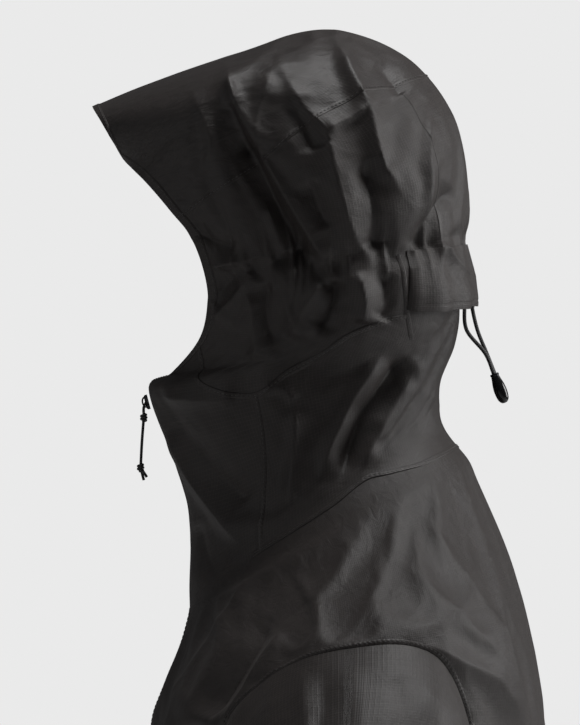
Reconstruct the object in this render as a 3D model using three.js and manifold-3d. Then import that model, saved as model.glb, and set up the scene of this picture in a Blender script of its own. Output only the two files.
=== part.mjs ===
// Hooded hardshell jacket, drawn as it hangs on a wearer with the hood up and the front closed.
// Millimetres, +Z up. The wearer faces -Y and their left is +X. The origin is under the middle of the
// jacket, at hem height. Every fabric panel is a thin closed shell cut from one lofted garment surface.
import * as THREE from "three";
import { mergeVertices } from "three/addons/utils/BufferGeometryUtils.js";
import { RoundedBoxGeometry } from "three/addons/geometries/RoundedBoxGeometry.js";
import Module from "manifold-3d";

const wasm = await Module();
wasm.setup();

// ---------------------------------------------------------------- driving dimensions
const CLOTH = 2.4; // thickness of a shell panel
const LAYER = 0.8; // clearance between one layer and the next
const CORD_R = 1.3;
const COIL_HALF = 4; // half width of the closed main zip between the front panels
const HEM_T = 4;
const NECK_T = 727; // seam between body and hood
const CHIN_T = 810; // top of the closed collar, where the face opening starts
const BRIM_T = 1240; // front edge of the brim

// Stations of the garment surface from the hem up over the head to the brim. Each is an arch in the
// plane through its front and back points: t runs up the garment, half is its widest half width,
// edge is how far from the centre line its front ends (0 where the front is closed), and square is
// the exponent of its superellipse.
const STATIONS = [
  { t: 0, front: [-116, 12], back: [120, 0], half: 205, edge: 0, square: 2.5 },
  { t: 200, front: [-116, 205], back: [120, 200], half: 194, edge: 0, square: 2.5 },
  { t: 400, front: [-119, 402], back: [134, 402], half: 195, edge: 0, square: 2.45 },
  { t: 533, front: [-114, 533], back: [138, 535], half: 204, edge: 0, square: 2.4 },
  { t: 575, front: [-104, 562], back: [132, 588], half: 207, edge: 0, square: 2.3 },
  { t: 612, front: [-96, 582], back: [124, 622], half: 197, edge: 0, square: 2.2 },
  { t: 652, front: [-92, 596], back: [112, 660], half: 160, edge: 0, square: 2.1 },
  { t: 692, front: [-90, 606], back: [94, 696], half: 118, edge: 0, square: 2.1 },
  { t: 730, front: [-90, 618], back: [73, 724], half: 88, edge: 0, square: 2.1 },
  { t: 770, front: [-92, 680], back: [70, 748], half: 80, edge: 0, square: 2.1 },
  { t: 810, front: [-116, 748], back: [79, 775], half: 80, edge: 0, square: 2.1 },
  { t: 830, front: [-101, 759], back: [82, 790], half: 84, edge: 30, square: 2 },
  { t: 855, front: [-83, 781], back: [83, 803], half: 88, edge: 58, square: 2 },
  { t: 880, front: [-78, 805], back: [86, 819], half: 91, edge: 68, square: 2 },
  { t: 905, front: [-81, 826], back: [89, 840], half: 92, edge: 72, square: 2 },
  { t: 945, front: [-90, 847], back: [89, 880], half: 95, edge: 74, square: 2 },
  { t: 985, front: [-101, 861], back: [79, 924], half: 95, edge: 73, square: 2 },
  { t: 1030, front: [-111, 873], back: [48, 962], half: 93, edge: 70, square: 2 },
  { t: 1080, front: [-119, 882], back: [0, 978], half: 90, edge: 66, square: 2 },
  { t: 1140, front: [-125, 888], back: [-60, 963], half: 83, edge: 60, square: 2 },
  { t: 1200, front: [-129, 892], back: [-118, 943], half: 73, edge: 55, square: 2 },
  { t: 1240, front: [-131, 894], back: [-152, 929], half: 60, edge: 52, square: 2 },
];

const ARMHOLE = { t: 487.5, rise: 103.5, s: 0.5, reach: 0.2, inset: 3, square: 2.5 };
const SHOULDER = new THREE.Vector3(195, 8, 545);
const UPPER_ARM = new THREE.Vector3(Math.sin(0.46), 0, -Math.cos(0.46));
const FOREARM = new THREE.Vector3(0.2, -0.3, -0.933).normalize();
const ARM = { cap: 150, upperEnd: 240, elbow: 300, forearmStart: 362, cuff: 545, bend: 52 };
const SLEEVE_RADII = [
  [0, 76],
  [150, 70],
  [300, 63],
  [420, 55],
  [545, 46],
];

// Seams of the hood as a share of the way round (s) against height up the garment (t).
const BACK_SEAM_S = 0.3;
const CHIN_SEAM_S = 0.62;
const SIDE_SEAM = [
  [0, 856],
  [0.3, 854],
  [0.44, 840],
  [0.62, 804],
  [0.8, 822],
  [1, 855],
];
const TOP_SEAM = [
  [0, 1010],
  [0.3, 1021],
  [0.43, 1020],
  [0.64, 1002],
  [0.83, 986],
  [1, 968],
];

// ---------------------------------------------------------------- garment surface
function blendKeys(keys, at) {
  const last = keys.length - 1;
  const x = Math.min(Math.max(at, keys[0][0]), keys[last][0]);
  let i = 0;
  while (i < last - 1 && x > keys[i + 1][0]) i += 1;
  const slope = (k) => {
    const lo = Math.max(k - 1, 0);
    const hi = Math.min(k + 1, last);
    return (keys[hi][1] - keys[lo][1]) / (keys[hi][0] - keys[lo][0]);
  };
  const [x0, y0] = keys[i];
  const [x1, y1] = keys[i + 1];
  const w = x1 - x0;
  const u = (x - x0) / w;
  const a = y0 * (1 + 2 * u) * (1 - u) ** 2 + y1 * u * u * (3 - 2 * u);
  return a + w * (slope(i) * u * (1 - u) ** 2 - slope(i + 1) * u * u * (1 - u));
}

const stationKeys = (read) => STATIONS.map((station) => [station.t, read(station)]);
const FRONT_Y = stationKeys((k) => k.front[0]);
const FRONT_Z = stationKeys((k) => k.front[1]);
const BACK_Y = stationKeys((k) => k.back[0]);
const BACK_Z = stationKeys((k) => k.back[1]);
const HALF = stationKeys((k) => k.half);
const EDGE = stationKeys((k) => k.edge);
const SQUARE = stationKeys((k) => k.square);

// A point of the garment: t up the garment, s from 0 at the centre back to +1 or -1 at the front.
function garment(t, s) {
  const a = Math.min(Math.abs(s), 1);
  const power = 2 / blendKeys(SQUARE, t);
  const half = blendKeys(HALF, t);
  const edge = Math.max(blendKeys(EDGE, t), 0);
  let across;
  let x;
  if (a < 0.5) {
    const turn = a * Math.PI;
    across = 0.5 * (1 - Math.cos(turn) ** power);
    x = half * Math.sin(turn) ** power;
  } else {
    const whole = (Math.PI / 2) * (1 - 0.6 * Math.min(1, edge / 40));
    const turn = (2 * a - 1) * whole;
    const share = (Math.cos(turn) - Math.cos(whole)) / (1 - Math.cos(whole));
    x = edge + (half - edge) * Math.max(share, 0) ** power;
    across = 0.5 + 0.5 * (Math.sin(turn) / Math.sin(whole)) ** power;
  }
  const y = THREE.MathUtils.lerp(blendKeys(BACK_Y, t), blendKeys(FRONT_Y, t), across);
  const z = THREE.MathUtils.lerp(blendKeys(BACK_Z, t), blendKeys(FRONT_Z, t), across);
  return new THREE.Vector3(s < 0 ? -x : x, y, z);
}

// Outward normal of the garment surface.
function garmentNormal(t, s) {
  const ds = 0.004;
  const at = Math.abs(s) > 1 - ds ? Math.sign(s) * (1 - ds) : s;
  const along = garment(Math.min(t + 1, BRIM_T), at).sub(garment(t - 1, at));
  const around = garment(t, at + ds).sub(garment(t, at - ds));
  return along.cross(around).normalize();
}

// The share s at which the front of the ring at t is x millimetres from the centre line.
function shareAtX(t, x) {
  let lo = 0.5;
  let hi = 1;
  for (let i = 0; i < 40; i += 1) {
    const mid = (lo + hi) / 2;
    if (garment(t, mid).x > x) lo = mid;
    else hi = mid;
  }
  return lo;
}

// ---------------------------------------------------------------- solids from surfaces
// A closed shell between two grids of points. place(i, j) gives [outer, inner] for each grid point;
// wrap joins the last column to the first, as on a sleeve.
function shell(columns, rows, place, wrap = false) {
  const wide = wrap ? columns : columns + 1;
  const positions = [];
  for (const side of [0, 1]) {
    for (let j = 0; j <= rows; j += 1) {
      for (let i = 0; i < wide; i += 1) positions.push(...place(i, j)[side].toArray());
    }
  }
  const at = (side, i, j) => side * wide * (rows + 1) + j * wide + (i % wide);
  const index = [];
  const quad = (a, b, c, d) => index.push(a, b, c, a, c, d);
  for (let j = 0; j < rows; j += 1) {
    for (let i = 0; i < columns; i += 1) {
      quad(at(0, i, j), at(0, i + 1, j), at(0, i + 1, j + 1), at(0, i, j + 1));
      quad(at(1, i, j + 1), at(1, i + 1, j + 1), at(1, i + 1, j), at(1, i, j));
    }
  }
  for (let i = 0; i < columns; i += 1) {
    quad(at(1, i, 0), at(1, i + 1, 0), at(0, i + 1, 0), at(0, i, 0));
    quad(at(0, i, rows), at(0, i + 1, rows), at(1, i + 1, rows), at(1, i, rows));
  }
  for (let j = 0; j < rows && !wrap; j += 1) {
    quad(at(0, 0, j), at(0, 0, j + 1), at(1, 0, j + 1), at(1, 0, j));
    quad(at(1, columns, j), at(1, columns, j + 1), at(0, columns, j + 1), at(0, columns, j));
  }
  const geometry = new THREE.BufferGeometry();
  geometry.setAttribute("position", new THREE.Float32BufferAttribute(positions, 3));
  geometry.setIndex(index);
  return outward(geometry);
}

function signedVolume(geometry) {
  const p = geometry.getAttribute("position");
  const [a, b, c] = [new THREE.Vector3(), new THREE.Vector3(), new THREE.Vector3()];
  const index = geometry.index.array;
  let sum = 0;
  for (let i = 0; i < index.length; i += 3) {
    a.fromBufferAttribute(p, index[i]);
    b.fromBufferAttribute(p, index[i + 1]);
    c.fromBufferAttribute(p, index[i + 2]);
    sum += a.dot(b.cross(c));
  }
  return sum / 6;
}

// Turns a closed mesh so that its faces point out.
function outward(geometry) {
  if (signedVolume(geometry) < 0) {
    const index = geometry.index.array;
    for (let i = 0; i < index.length; i += 3) {
      [index[i + 1], index[i + 2]] = [index[i + 2], index[i + 1]];
    }
  }
  return geometry;
}

// A panel of the garment surface. range(v) gives [low s, high s] at row v, height(u, v) gives t.
function panel({ columns, rows, share, height, depth = 0, thickness = CLOTH }) {
  return shell(columns, rows, (i, j) => {
    const u = i / columns;
    const v = j / rows;
    const t = height(u, v);
    const s = share(u, v, t);
    const point = garment(t, s);
    const normal = garmentNormal(t, s);
    const outer = point.clone().addScaledVector(normal, -depth);
    return [outer, point.addScaledVector(normal, -depth - thickness)];
  });
}

const mix = THREE.MathUtils.lerp;
const seamT = (keys, s) => blendKeys(keys, Math.abs(s));

// ---------------------------------------------------------------- solids by boolean and sweep
function solid(geometry) {
  const bare = geometry.clone();
  for (const name of ["normal", "uv"]) bare.deleteAttribute(name);
  const merged = mergeVertices(bare, 1e-4);
  return new wasm.Manifold(
    new wasm.Mesh({
      numProp: 3,
      vertProperties: new Float32Array(merged.getAttribute("position").array),
      triVerts: new Uint32Array(merged.index.array),
    }),
  );
}

function geometryOf(manifold) {
  const mesh = manifold.getMesh();
  const geometry = new THREE.BufferGeometry();
  geometry.setAttribute("position", new THREE.BufferAttribute(mesh.vertProperties, 3));
  geometry.setIndex(new THREE.BufferAttribute(mesh.triVerts, 1));
  return geometry;
}

const joined = (...parts) => geometryOf(parts.map(solid).reduce((a, b) => a.add(b)));
const cutFrom = (body, ...tools) => geometryOf(tools.map(solid).reduce((a, b) => a.subtract(b), solid(body)));

function disc(radius, points = 8) {
  const shape = new THREE.Shape();
  for (let i = 0; i < points; i += 1) {
    const a = (i / points) * Math.PI * 2;
    shape[i ? "lineTo" : "moveTo"](radius * Math.cos(a), radius * Math.sin(a));
  }
  return shape.closePath();
}

function cord(points, radius = CORD_R, steps = 14) {
  const path = new THREE.CatmullRomCurve3(points);
  return new THREE.ExtrudeGeometry(disc(radius), { steps, extrudePath: path, bevelEnabled: false });
}

function block(width, depth, height, radius = 0.8) {
  return new RoundedBoxGeometry(width, depth, height, 1, radius);
}

// A bead, knot or cord end turned about Z, its profile given as [radius, height] pairs.
function turned(profile, points = 12) {
  return new THREE.LatheGeometry(
    profile.map(([r, h]) => new THREE.Vector2(r, h)),
    points,
  ).rotateX(Math.PI / 2);
}

// ---------------------------------------------------------------- materials and assembly
function cloth(colour, roughness) {
  return new THREE.MeshStandardMaterial({ color: colour, roughness, metalness: 0 });
}
const SHELL_FABRIC = cloth(0x2b2829, 0.55);
const LINING = cloth(0x232122, 0.8);
const CORD_FINISH = cloth(0x0f0f10, 0.7);
const ZIP_FILM = cloth(0x151516, 0.4);
const PLASTIC = cloth(0x121213, 0.35);
const WEBBING = cloth(0x19191a, 0.85);

const jacket = new THREE.Group();

function add(name, geometry, material, parent = jacket) {
  const mesh = new THREE.Mesh(geometry, material);
  mesh.name = name;
  parent.add(mesh);
  return mesh;
}

// The same piece on both sides: build(side) makes it for the wearer's left (+1) or right (-1).
function bothSides(name, build, material) {
  add(`${name}_left`, build(1), material);
  add(`${name}_right`, build(-1), material);
}

// ---------------------------------------------------------------- body panels
const BODY_ROWS = [];
for (let j = 0; j < 7; j += 1) BODY_ROWS.push(mix(HEM_T, ARMHOLE.t - ARMHOLE.rise, j / 7));
for (let j = 0; j <= 9; j += 1) {
  BODY_ROWS.push(ARMHOLE.t - ARMHOLE.rise * Math.cos((j / 9) * Math.PI));
}
for (let j = 1; j <= 4; j += 1) {
  BODY_ROWS.push(mix(ARMHOLE.t + ARMHOLE.rise, NECK_T - 1, j / 4));
}

// Half the armhole's width, as a share, at height t.
function armholeReach(t) {
  const up = Math.abs(t - ARMHOLE.t) / ARMHOLE.rise;
  return ARMHOLE.reach * Math.max(0, 1 - up ** ARMHOLE.square) ** (1 / ARMHOLE.square);
}

const SEAM_GAP = 0.003; // half the gap at a seam, as a share of the way round
const bodyRow = (u, v) => BODY_ROWS[Math.round(v * (BODY_ROWS.length - 1))];

bothSides(
  "front_panel",
  (side) =>
    panel({
      columns: 8,
      rows: BODY_ROWS.length - 1,
      height: bodyRow,
      share: (u, v, t) =>
        side * mix(ARMHOLE.s + armholeReach(t) + SEAM_GAP, shareAtX(t, COIL_HALF), u),
    }),
  SHELL_FABRIC,
);

add(
  "back_panel",
  panel({
    columns: 14,
    rows: BODY_ROWS.length - 1,
    height: bodyRow,
    share: (u, v, t) => (2 * u - 1) * (ARMHOLE.s - armholeReach(t) - SEAM_GAP),
  }),
  SHELL_FABRIC,
);

// ---------------------------------------------------------------- hood and collar panels
const GAP_T = 2.8; // half the gap between panels that meet along a seam across the hood

// Grid lines round the hood, from its centre back (0) to the face opening (1). Panels that share a
// seam share its grid lines, so their edges stay parallel.
function ladder(low, high, steps) {
  return Array.from({ length: steps + 1 }, (_, i) => mix(low, high, i / steps));
}
const BACK_GRID = ladder(0, BACK_SEAM_S - SEAM_GAP, 4);
const SIDE_GRID = ladder(BACK_SEAM_S + SEAM_GAP, CHIN_SEAM_S - SEAM_GAP, 4);
const FACE_GRID = ladder(CHIN_SEAM_S + SEAM_GAP, 1, 8);
const bothWays = (grid) => [...grid.map((s) => -s).reverse(), ...grid.filter((s) => s > 0)];

// A panel whose columns stand on the given grid lines, between two seams that cross them.
function stacked(grid, low, high, rows, side = 1) {
  const share = (u) => side * grid[Math.round(u * (grid.length - 1))];
  return panel({
    columns: grid.length - 1,
    rows,
    share,
    height: (u, v) => mix(low(share(u)) + GAP_T, high(share(u)) - GAP_T, v),
  });
}
const neckLine = () => NECK_T;
const sideLine = (s) => seamT(SIDE_SEAM, s);
const topLine = (s) => seamT(TOP_SEAM, s);

add(
  "neck_panel",
  stacked(bothWays([...BACK_GRID, ...SIDE_GRID]), neckLine, sideLine, 7),
  SHELL_FABRIC,
);

bothSides(
  "chin_panel",
  (side) =>
    panel({
      columns: FACE_GRID.length - 1,
      rows: 10,
      height: (u, v) => mix(NECK_T + GAP_T, sideLine(mix(FACE_GRID[0], 1, u)) - GAP_T, v),
      share: (u, v, t) => side * mix(FACE_GRID[0], shareAtX(t, COIL_HALF), u),
    }),
  SHELL_FABRIC,
);

bothSides(
  "hood_side_panel",
  (side) =>
    stacked([...SIDE_GRID, ...FACE_GRID], sideLine, topLine, 8, side),
  SHELL_FABRIC,
);

add(
  "hood_back_panel",
  stacked(bothWays(BACK_GRID), sideLine, topLine, 8),
  SHELL_FABRIC,
);

const TOP_GRID = bothWays([...BACK_GRID, ...SIDE_GRID, ...FACE_GRID]);
const TOP_ROWS = 10;
const brimEdge = () => BRIM_T + GAP_T;
add("hood_top_panel", stacked(TOP_GRID, topLine, brimEdge, TOP_ROWS), SHELL_FABRIC);

// Stiff laminated layer inside the front of the brim, on the top panel's own grid lines.
const STIFF = { columns: 13, rows: 3, setBack: 0.3 };
const stiffShare = (u) => TOP_GRID[(TOP_GRID.length - 1) / 2 + Math.round((2 * u - 1) * STIFF.columns)];
add(
  "brim_stiffener",
  panel({
    columns: 2 * STIFF.columns,
    rows: STIFF.rows,
    depth: CLOTH + LAYER,
    thickness: 1,
    height: (u, v) => {
      const row = TOP_ROWS - STIFF.rows + v * (STIFF.rows - STIFF.setBack);
      return mix(topLine(stiffShare(u)) + GAP_T, BRIM_T, row / TOP_ROWS);
    },
    share: stiffShare,
  }),
  LINING,
);

// Flap over the hood's rear adjuster. It hangs free at its bottom hem.
const FLAP = { share: 0.3, low: 858, high: 904, lift: 1.2, stand: 13, thickness: 2 };
add(
  "hood_adjuster_flap",
  shell(12, 4, (i, j) => {
    const s = ((2 * i) / 12 - 1) * FLAP.share;
    const t = mix(FLAP.low, FLAP.high, j / 4);
    const fade = Math.cos(((s / FLAP.share) * Math.PI) / 2);
    const proud = FLAP.lift + FLAP.thickness + FLAP.stand * fade * (1 - j / 4);
    const normal = garmentNormal(t, s);
    const point = garment(t, s);
    return [
      point.clone().addScaledVector(normal, proud),
      point.addScaledVector(normal, proud - FLAP.thickness),
    ];
  }),
  SHELL_FABRIC,
);

// ---------------------------------------------------------------- hood drawcord
const HALO_T = 905;
const haloDepth = CLOTH + LAYER + CORD_R + 1;

function inside(t, s, depth) {
  return garment(t, s).addScaledVector(garmentNormal(t, s), -depth);
}

const haloPoints = [];
for (let i = 0; i <= 10; i += 1) {
  haloPoints.push(inside(HALO_T, mix(-0.72, 0.72, i / 10), haloDepth));
}
add("hood_halo_cord", cord(haloPoints, CORD_R, 24), CORD_FINISH);

// The cord lock hides under the flap; its plunger is pressed up into the body from below.
const LOCK = { t: 868, width: 14, depth: 5.6, height: 13, bore: 2.3, hole: 9.5 };
const PLUNGER = { radius: 1.9, length: 9.6, shows: 4 };
function cordLock() {
  const bore = new THREE.CylinderGeometry(LOCK.bore, LOCK.bore, LOCK.hole + 2, 12).rotateX(Math.PI / 2);
  return cutFrom(
    block(LOCK.width, LOCK.depth, LOCK.height, 1.5),
    bore.translate(0, 0, (LOCK.hole - 2 - LOCK.height) / 2),
  );
}
function plunger() {
  const r = PLUNGER.radius;
  const end = -LOCK.height / 2 - PLUNGER.shows;
  return turned([[0, 0], [r - 0.5, 0], [r, 0.6], [r, PLUNGER.length], [0, PLUNGER.length]]).translate(0, 0, end);
}
const lockOut = garmentNormal(LOCK.t, 0);
const lockSeat = garment(LOCK.t, 0).addScaledVector(lockOut, LOCK.depth / 2 + LAYER);
const lockTilt = Math.atan2(lockOut.z, lockOut.y);
const onLockSeat = (geometry) => geometry.rotateX(lockTilt).translate(...lockSeat.toArray());
add("hood_cord_lock", onLockSeat(cordLock()), PLASTIC);
add("hood_lock_button", onLockSeat(plunger()), PLASTIC);

// Two strands leave the flap's hem, meet and end in a moulded cord end.
const CORD_MEET = new THREE.Vector3(0, 100, 771);
const CORD_FOOT = new THREE.Vector3(0, 105.5, 757);
function tailStrand(start, bow, side) {
  return cord([start, bow, CORD_MEET.clone().setX(0.9 * side), CORD_FOOT.clone().setX(0.9 * side)], CORD_R, 10);
}
add(
  "hood_cord_tail",
  joined(
    tailStrand(new THREE.Vector3(5, 86, 801), new THREE.Vector3(4, 87.5, 786), 1),
    tailStrand(new THREE.Vector3(-5, 91, 801), new THREE.Vector3(-3, 94.5, 786), -1),
  ),
  CORD_FINISH,
);
add(
  "hood_cord_end",
  turned([[0, -17.8], [1.8, -17.4], [3.6, -15], [4.2, -10], [3.5, -4], [2.6, 0], [0, 0]])
    .rotateX(0.36)
    .translate(CORD_FOOT.x, CORD_FOOT.y + 0.3, CORD_FOOT.z - 0.8),
  PLASTIC,
);

// ---------------------------------------------------------------- main zip
// Grid lines up the centre front, close together where the collar curves.
const FRONT_ROWS = [...ladder(20, 590, 10), ...ladder(605, 804, 13)];

// A strip that follows the centre front between two distances from the centre line.
function frontStrip({ nearX, farX, from = 0, to = FRONT_ROWS.length - 1, depth, thickness }) {
  return shell(1, to - from, (i, j) => {
    const t = FRONT_ROWS[from + j];
    const up = garment(t + 1, 1).sub(garment(t - 1, 1)).normalize();
    const out = new THREE.Vector3(0, -up.z, up.y);
    const point = garment(t, 1).setX(i ? farX : nearX);
    return [
      point.clone().addScaledVector(out, -depth),
      point.addScaledVector(out, -depth - thickness),
    ];
  });
}
const ZIP = { centre: 0.4, coil: 2.8, tape: 13 };
bothSides(
  "zip_tape",
  (side) =>
    frontStrip({
      nearX: side * ZIP.centre,
      farX: side * ZIP.tape,
      depth: CLOTH + 2.4,
      thickness: 0.8,
    }),
  ZIP_FILM,
);
bothSides(
  "zip_coil",
  (side) =>
    frontStrip({
      nearX: side * ZIP.centre,
      farX: side * ZIP.coil,
      depth: 0.6,
      thickness: CLOTH + 1.2,
    }),
  PLASTIC,
);
add(
  "storm_flap",
  frontStrip({ nearX: -15, farX: 15, to: FRONT_ROWS.length - 2, depth: CLOTH + 4.4, thickness: 1.4 }),
  SHELL_FABRIC,
);

// Direction of the centre front at height t, and the frame a zip part sits in there.
function placeOnFront(geometry, t, lift) {
  const up = garment(t + 1, 1).sub(garment(t - 1, 1)).normalize();
  const out = new THREE.Vector3(0, -up.z, up.y);
  const right = new THREE.Vector3(1, 0, 0);
  const seat = garment(t, 1).addScaledVector(out, lift);
  const frame = new THREE.Matrix4().makeBasis(right, out.clone().negate(), up).setPosition(seat);
  return geometry.applyMatrix4(frame);
}
add("zip_box", placeOnFront(block(11, 4, 10), 14, 3.4), PLASTIC);

// The slider runs on the straight stretch below the chin: a plate with a bail for its pull.
const SLIDER = { t: 805, lift: 3.8, plate: [8, 2.2, 9], bail: [2.2, 4.8, 7.4], eye: [4, 2.4, 4.2], proud: 2.3 };
const sliderBody = () =>
  joined(
    block(...SLIDER.plate, 0.7),
    cutFrom(block(...SLIDER.bail, 0.7), block(...SLIDER.eye, 0.5)).translate(0, -SLIDER.proud, 0),
  );
add("zip_slider", placeOnFront(sliderBody(), SLIDER.t, SLIDER.lift), PLASTIC);

// The pull is a loop of thin cord through the bail, knotted under it and again near its ends.
const pullUp = garment(SLIDER.t + 1, 1).sub(garment(SLIDER.t - 1, 1)).normalize();
const pullOut = new THREE.Vector3(0, -pullUp.z, pullUp.y);
const PULL = garment(SLIDER.t, 1).addScaledVector(pullOut, SLIDER.lift + SLIDER.proud);
const PULL_R = 0.9;
const hang = (x, y, z) => new THREE.Vector3(x, PULL.y + y, PULL.z + z);
const knot = (y, z) =>
  new THREE.SphereGeometry(2.3, 10, 6).scale(1, 1, 1.35).translate(0, PULL.y + y, PULL.z + z);
const UPPER_KNOT = { y: -1.6, z: -10 };
const LOWER_KNOT = { y: -3.6, z: -42 };
const loopSide = (side) => [
  hang(2.4 * side, -0.3, -0.6),
  hang(2.5 * side, -1.6, -3.6),
  hang(0.8 * side, UPPER_KNOT.y, UPPER_KNOT.z + 1),
];
const pullStrand = (side) =>
  cord(
    [
      hang(0.7 * side, UPPER_KNOT.y, UPPER_KNOT.z),
      hang(1.5 * side, UPPER_KNOT.y - 1.2, (UPPER_KNOT.z + LOWER_KNOT.z) / 2),
      hang(0.7 * side, LOWER_KNOT.y, LOWER_KNOT.z),
    ],
    PULL_R,
    8,
  );
const pullEnd = (side) =>
  cord(
    [
      hang(0.4 * side, LOWER_KNOT.y, LOWER_KNOT.z),
      hang(1.4 * side, LOWER_KNOT.y + 3 + side, LOWER_KNOT.z - 7 + side),
    ],
    PULL_R,
    3,
  );
add(
  "zip_pull_cord",
  joined(
    cord([...loopSide(-1).reverse(), hang(-1.4, 0, 0), hang(1.4, 0, 0), ...loopSide(1)], PULL_R, 22),
    knot(UPPER_KNOT.y, UPPER_KNOT.z),
    knot(LOWER_KNOT.y, LOWER_KNOT.z),
    ...[1, -1].map(pullStrand),
    ...[1, -1].map(pullEnd),
  ),
  CORD_FINISH,
);

// Garage that hides the slider at the top of the zip, inside the collar.
add("zip_garage", placeOnFront(block(22, 1.6, 14, 0.6), 802, -CLOTH - 7.5), LINING);

// ---------------------------------------------------------------- collar lining and hanging
bothSides(
  "chin_guard",
  (side) =>
    panel({
      columns: 5,
      rows: 5,
      depth: CLOTH + 2,
      thickness: 1.6,
      height: (u, v) => mix(742, CHIN_T - 6, v),
      share: (u) => side * mix(0.8, 0.9, u),
    }),
  LINING,
);

// Hanging loop: a webbing bridge inside the back of the neck, with a flat top to hang by.
const LOOP = { width: 52, drop: 26, strap: 6, thickness: 1.6, t: 742 };
const loopSeat = inside(LOOP.t, 0, CLOTH + 4);
add(
  "hang_loop",
  cutFrom(
    new THREE.BoxGeometry(LOOP.width, LOOP.strap, LOOP.drop),
    new THREE.BoxGeometry(LOOP.width - 4 * LOOP.thickness, LOOP.strap + 4, LOOP.drop - 2 * LOOP.thickness),
  ).translate(0, loopSeat.y - LOOP.strap, loopSeat.z),
  WEBBING,
);

add("neck_label", block(46, 1, 30, 0.4).translate(0, loopSeat.y - LOOP.strap - 8, loopSeat.z - 46), LINING);

// ---------------------------------------------------------------- sleeves
function sleeveRadius(d) {
  return blendKeys(SLEEVE_RADII, d);
}

// Centre of the arm at distance d from the shoulder, with the elbow rounded off.
function armCentre(d) {
  const elbow = SHOULDER.clone().addScaledVector(UPPER_ARM, ARM.elbow);
  const past = d - ARM.elbow;
  if (past < -ARM.bend) return SHOULDER.clone().addScaledVector(UPPER_ARM, d);
  if (past > ARM.bend) return elbow.addScaledVector(FOREARM, past);
  const u = (past + ARM.bend) / (2 * ARM.bend);
  const from = elbow.clone().addScaledVector(UPPER_ARM, -ARM.bend);
  const to = elbow.clone().addScaledVector(FOREARM, ARM.bend);
  return from
    .multiplyScalar((1 - u) ** 2)
    .addScaledVector(elbow, 2 * u * (1 - u))
    .addScaledVector(to, u * u);
}

function armFrame(d) {
  const along = armCentre(d + 1).sub(armCentre(d - 1)).normalize();
  const outer = new THREE.Vector3(1, 0, 0).addScaledVector(along, -along.x).normalize();
  const back = along.clone().cross(outer).multiplyScalar(-1);
  if (back.y < 0) back.multiplyScalar(-1);
  return { along, outer, back };
}

// A point round the sleeve at distance d; a is 0 on the outer side and a quarter turn at the back.
function sleevePoint(d, a, depth = 0) {
  const { outer, back } = armFrame(d);
  const r = sleeveRadius(d) - depth;
  return armCentre(d)
    .addScaledVector(outer, r * Math.cos(a))
    .addScaledVector(back, r * Math.sin(a));
}

function armholePoint(a) {
  const squared = (v) => Math.sign(v) * Math.abs(v) ** (2 / ARMHOLE.square);
  const t = ARMHOLE.t + (ARMHOLE.rise - ARMHOLE.inset) * squared(Math.cos(a));
  return garment(t, ARMHOLE.s - (ARMHOLE.reach - 2 * SEAM_GAP) * squared(Math.sin(a)));
}

// The sleeve cap runs from the armhole (v = 0) to the top of the straight upper sleeve (v = 1).
function capPoint(v, a) {
  const from = armholePoint(a);
  const to = sleevePoint(ARM.cap, a);
  const reach = from.distanceTo(to);
  const leave = new THREE.Vector3(0.62 + 0.25 * Math.cos(a), 0.3 * Math.sin(a), -0.72).normalize();
  const h = [2 * v ** 3 - 3 * v * v + 1, v ** 3 - 2 * v * v + v, 3 * v * v - 2 * v ** 3, v ** 3 - v * v];
  return from
    .multiplyScalar(h[0])
    .addScaledVector(leave, h[1] * reach)
    .addScaledVector(to, h[2])
    .addScaledVector(UPPER_ARM, h[3] * reach);
}

function capNormal(v, a) {
  const along = capPoint(v + 0.01, a).sub(capPoint(v - 0.01, a));
  const around = capPoint(v, a + 0.02).sub(capPoint(v, a - 0.02));
  const normal = along.cross(around).normalize();
  const out = capPoint(v, a).sub(armCentre(v * ARM.cap));
  return normal.dot(out) < 0 ? normal.negate() : normal;
}

const CAP_START = 0.065; // leaves the cap clear of the panels at the armhole seam
const mirrorX = (geometry, side) => (side < 0 ? outward(geometry.scale(-1, 1, 1)) : geometry);
const ROUND = 20;

function sleeveTube(low, high, rows, side) {
  const tube = shell(
    ROUND,
    rows,
    (i, j) => {
      const d = mix(low, high, j / rows);
      const a = (i / ROUND) * Math.PI * 2;
      return [sleevePoint(d, a), sleevePoint(d, a, CLOTH)];
    },
    true,
  );
  return mirrorX(tube, side);
}

bothSides(
  "sleeve_cap",
  (side) =>
    mirrorX(
      shell(
        24,
        5,
        (i, j) => {
          const a = (i / 24) * Math.PI * 2;
          const v = mix(CAP_START, 0.985, j / 5);
          const point = capPoint(v, a);
          return [point.clone(), point.addScaledVector(capNormal(v, a), -CLOTH)];
        },
        true,
      ),
      side,
    ),
  SHELL_FABRIC,
);
bothSides("upper_sleeve", (side) => sleeveTube(ARM.cap + 1, ARM.upperEnd - 1, 3, side), SHELL_FABRIC);
bothSides(
  "elbow_panel",
  (side) => sleeveTube(ARM.upperEnd + 1, ARM.forearmStart - 1, 6, side),
  SHELL_FABRIC,
);
bothSides("forearm_sleeve", (side) => sleeveTube(ARM.forearmStart + 1, ARM.cuff, 4, side), SHELL_FABRIC);

// Cuff tab: a stiff tongue that wraps the back of the cuff and peels up from its free end.
const TAB = { low: 508, high: 534, from: 0.35, to: 1.75, thickness: 2, lift: 1.2 };
bothSides(
  "cuff_tab",
  (side) =>
    mirrorX(
      shell(8, 1, (i, j) => {
        const a = mix(TAB.from, TAB.to, i / 8);
        const d = mix(TAB.low, TAB.high, j);
        return [sleevePoint(d, a, -TAB.lift - TAB.thickness), sleevePoint(d, a, -TAB.lift)];
      }),
      side,
    ),
  PLASTIC,
);

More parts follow.
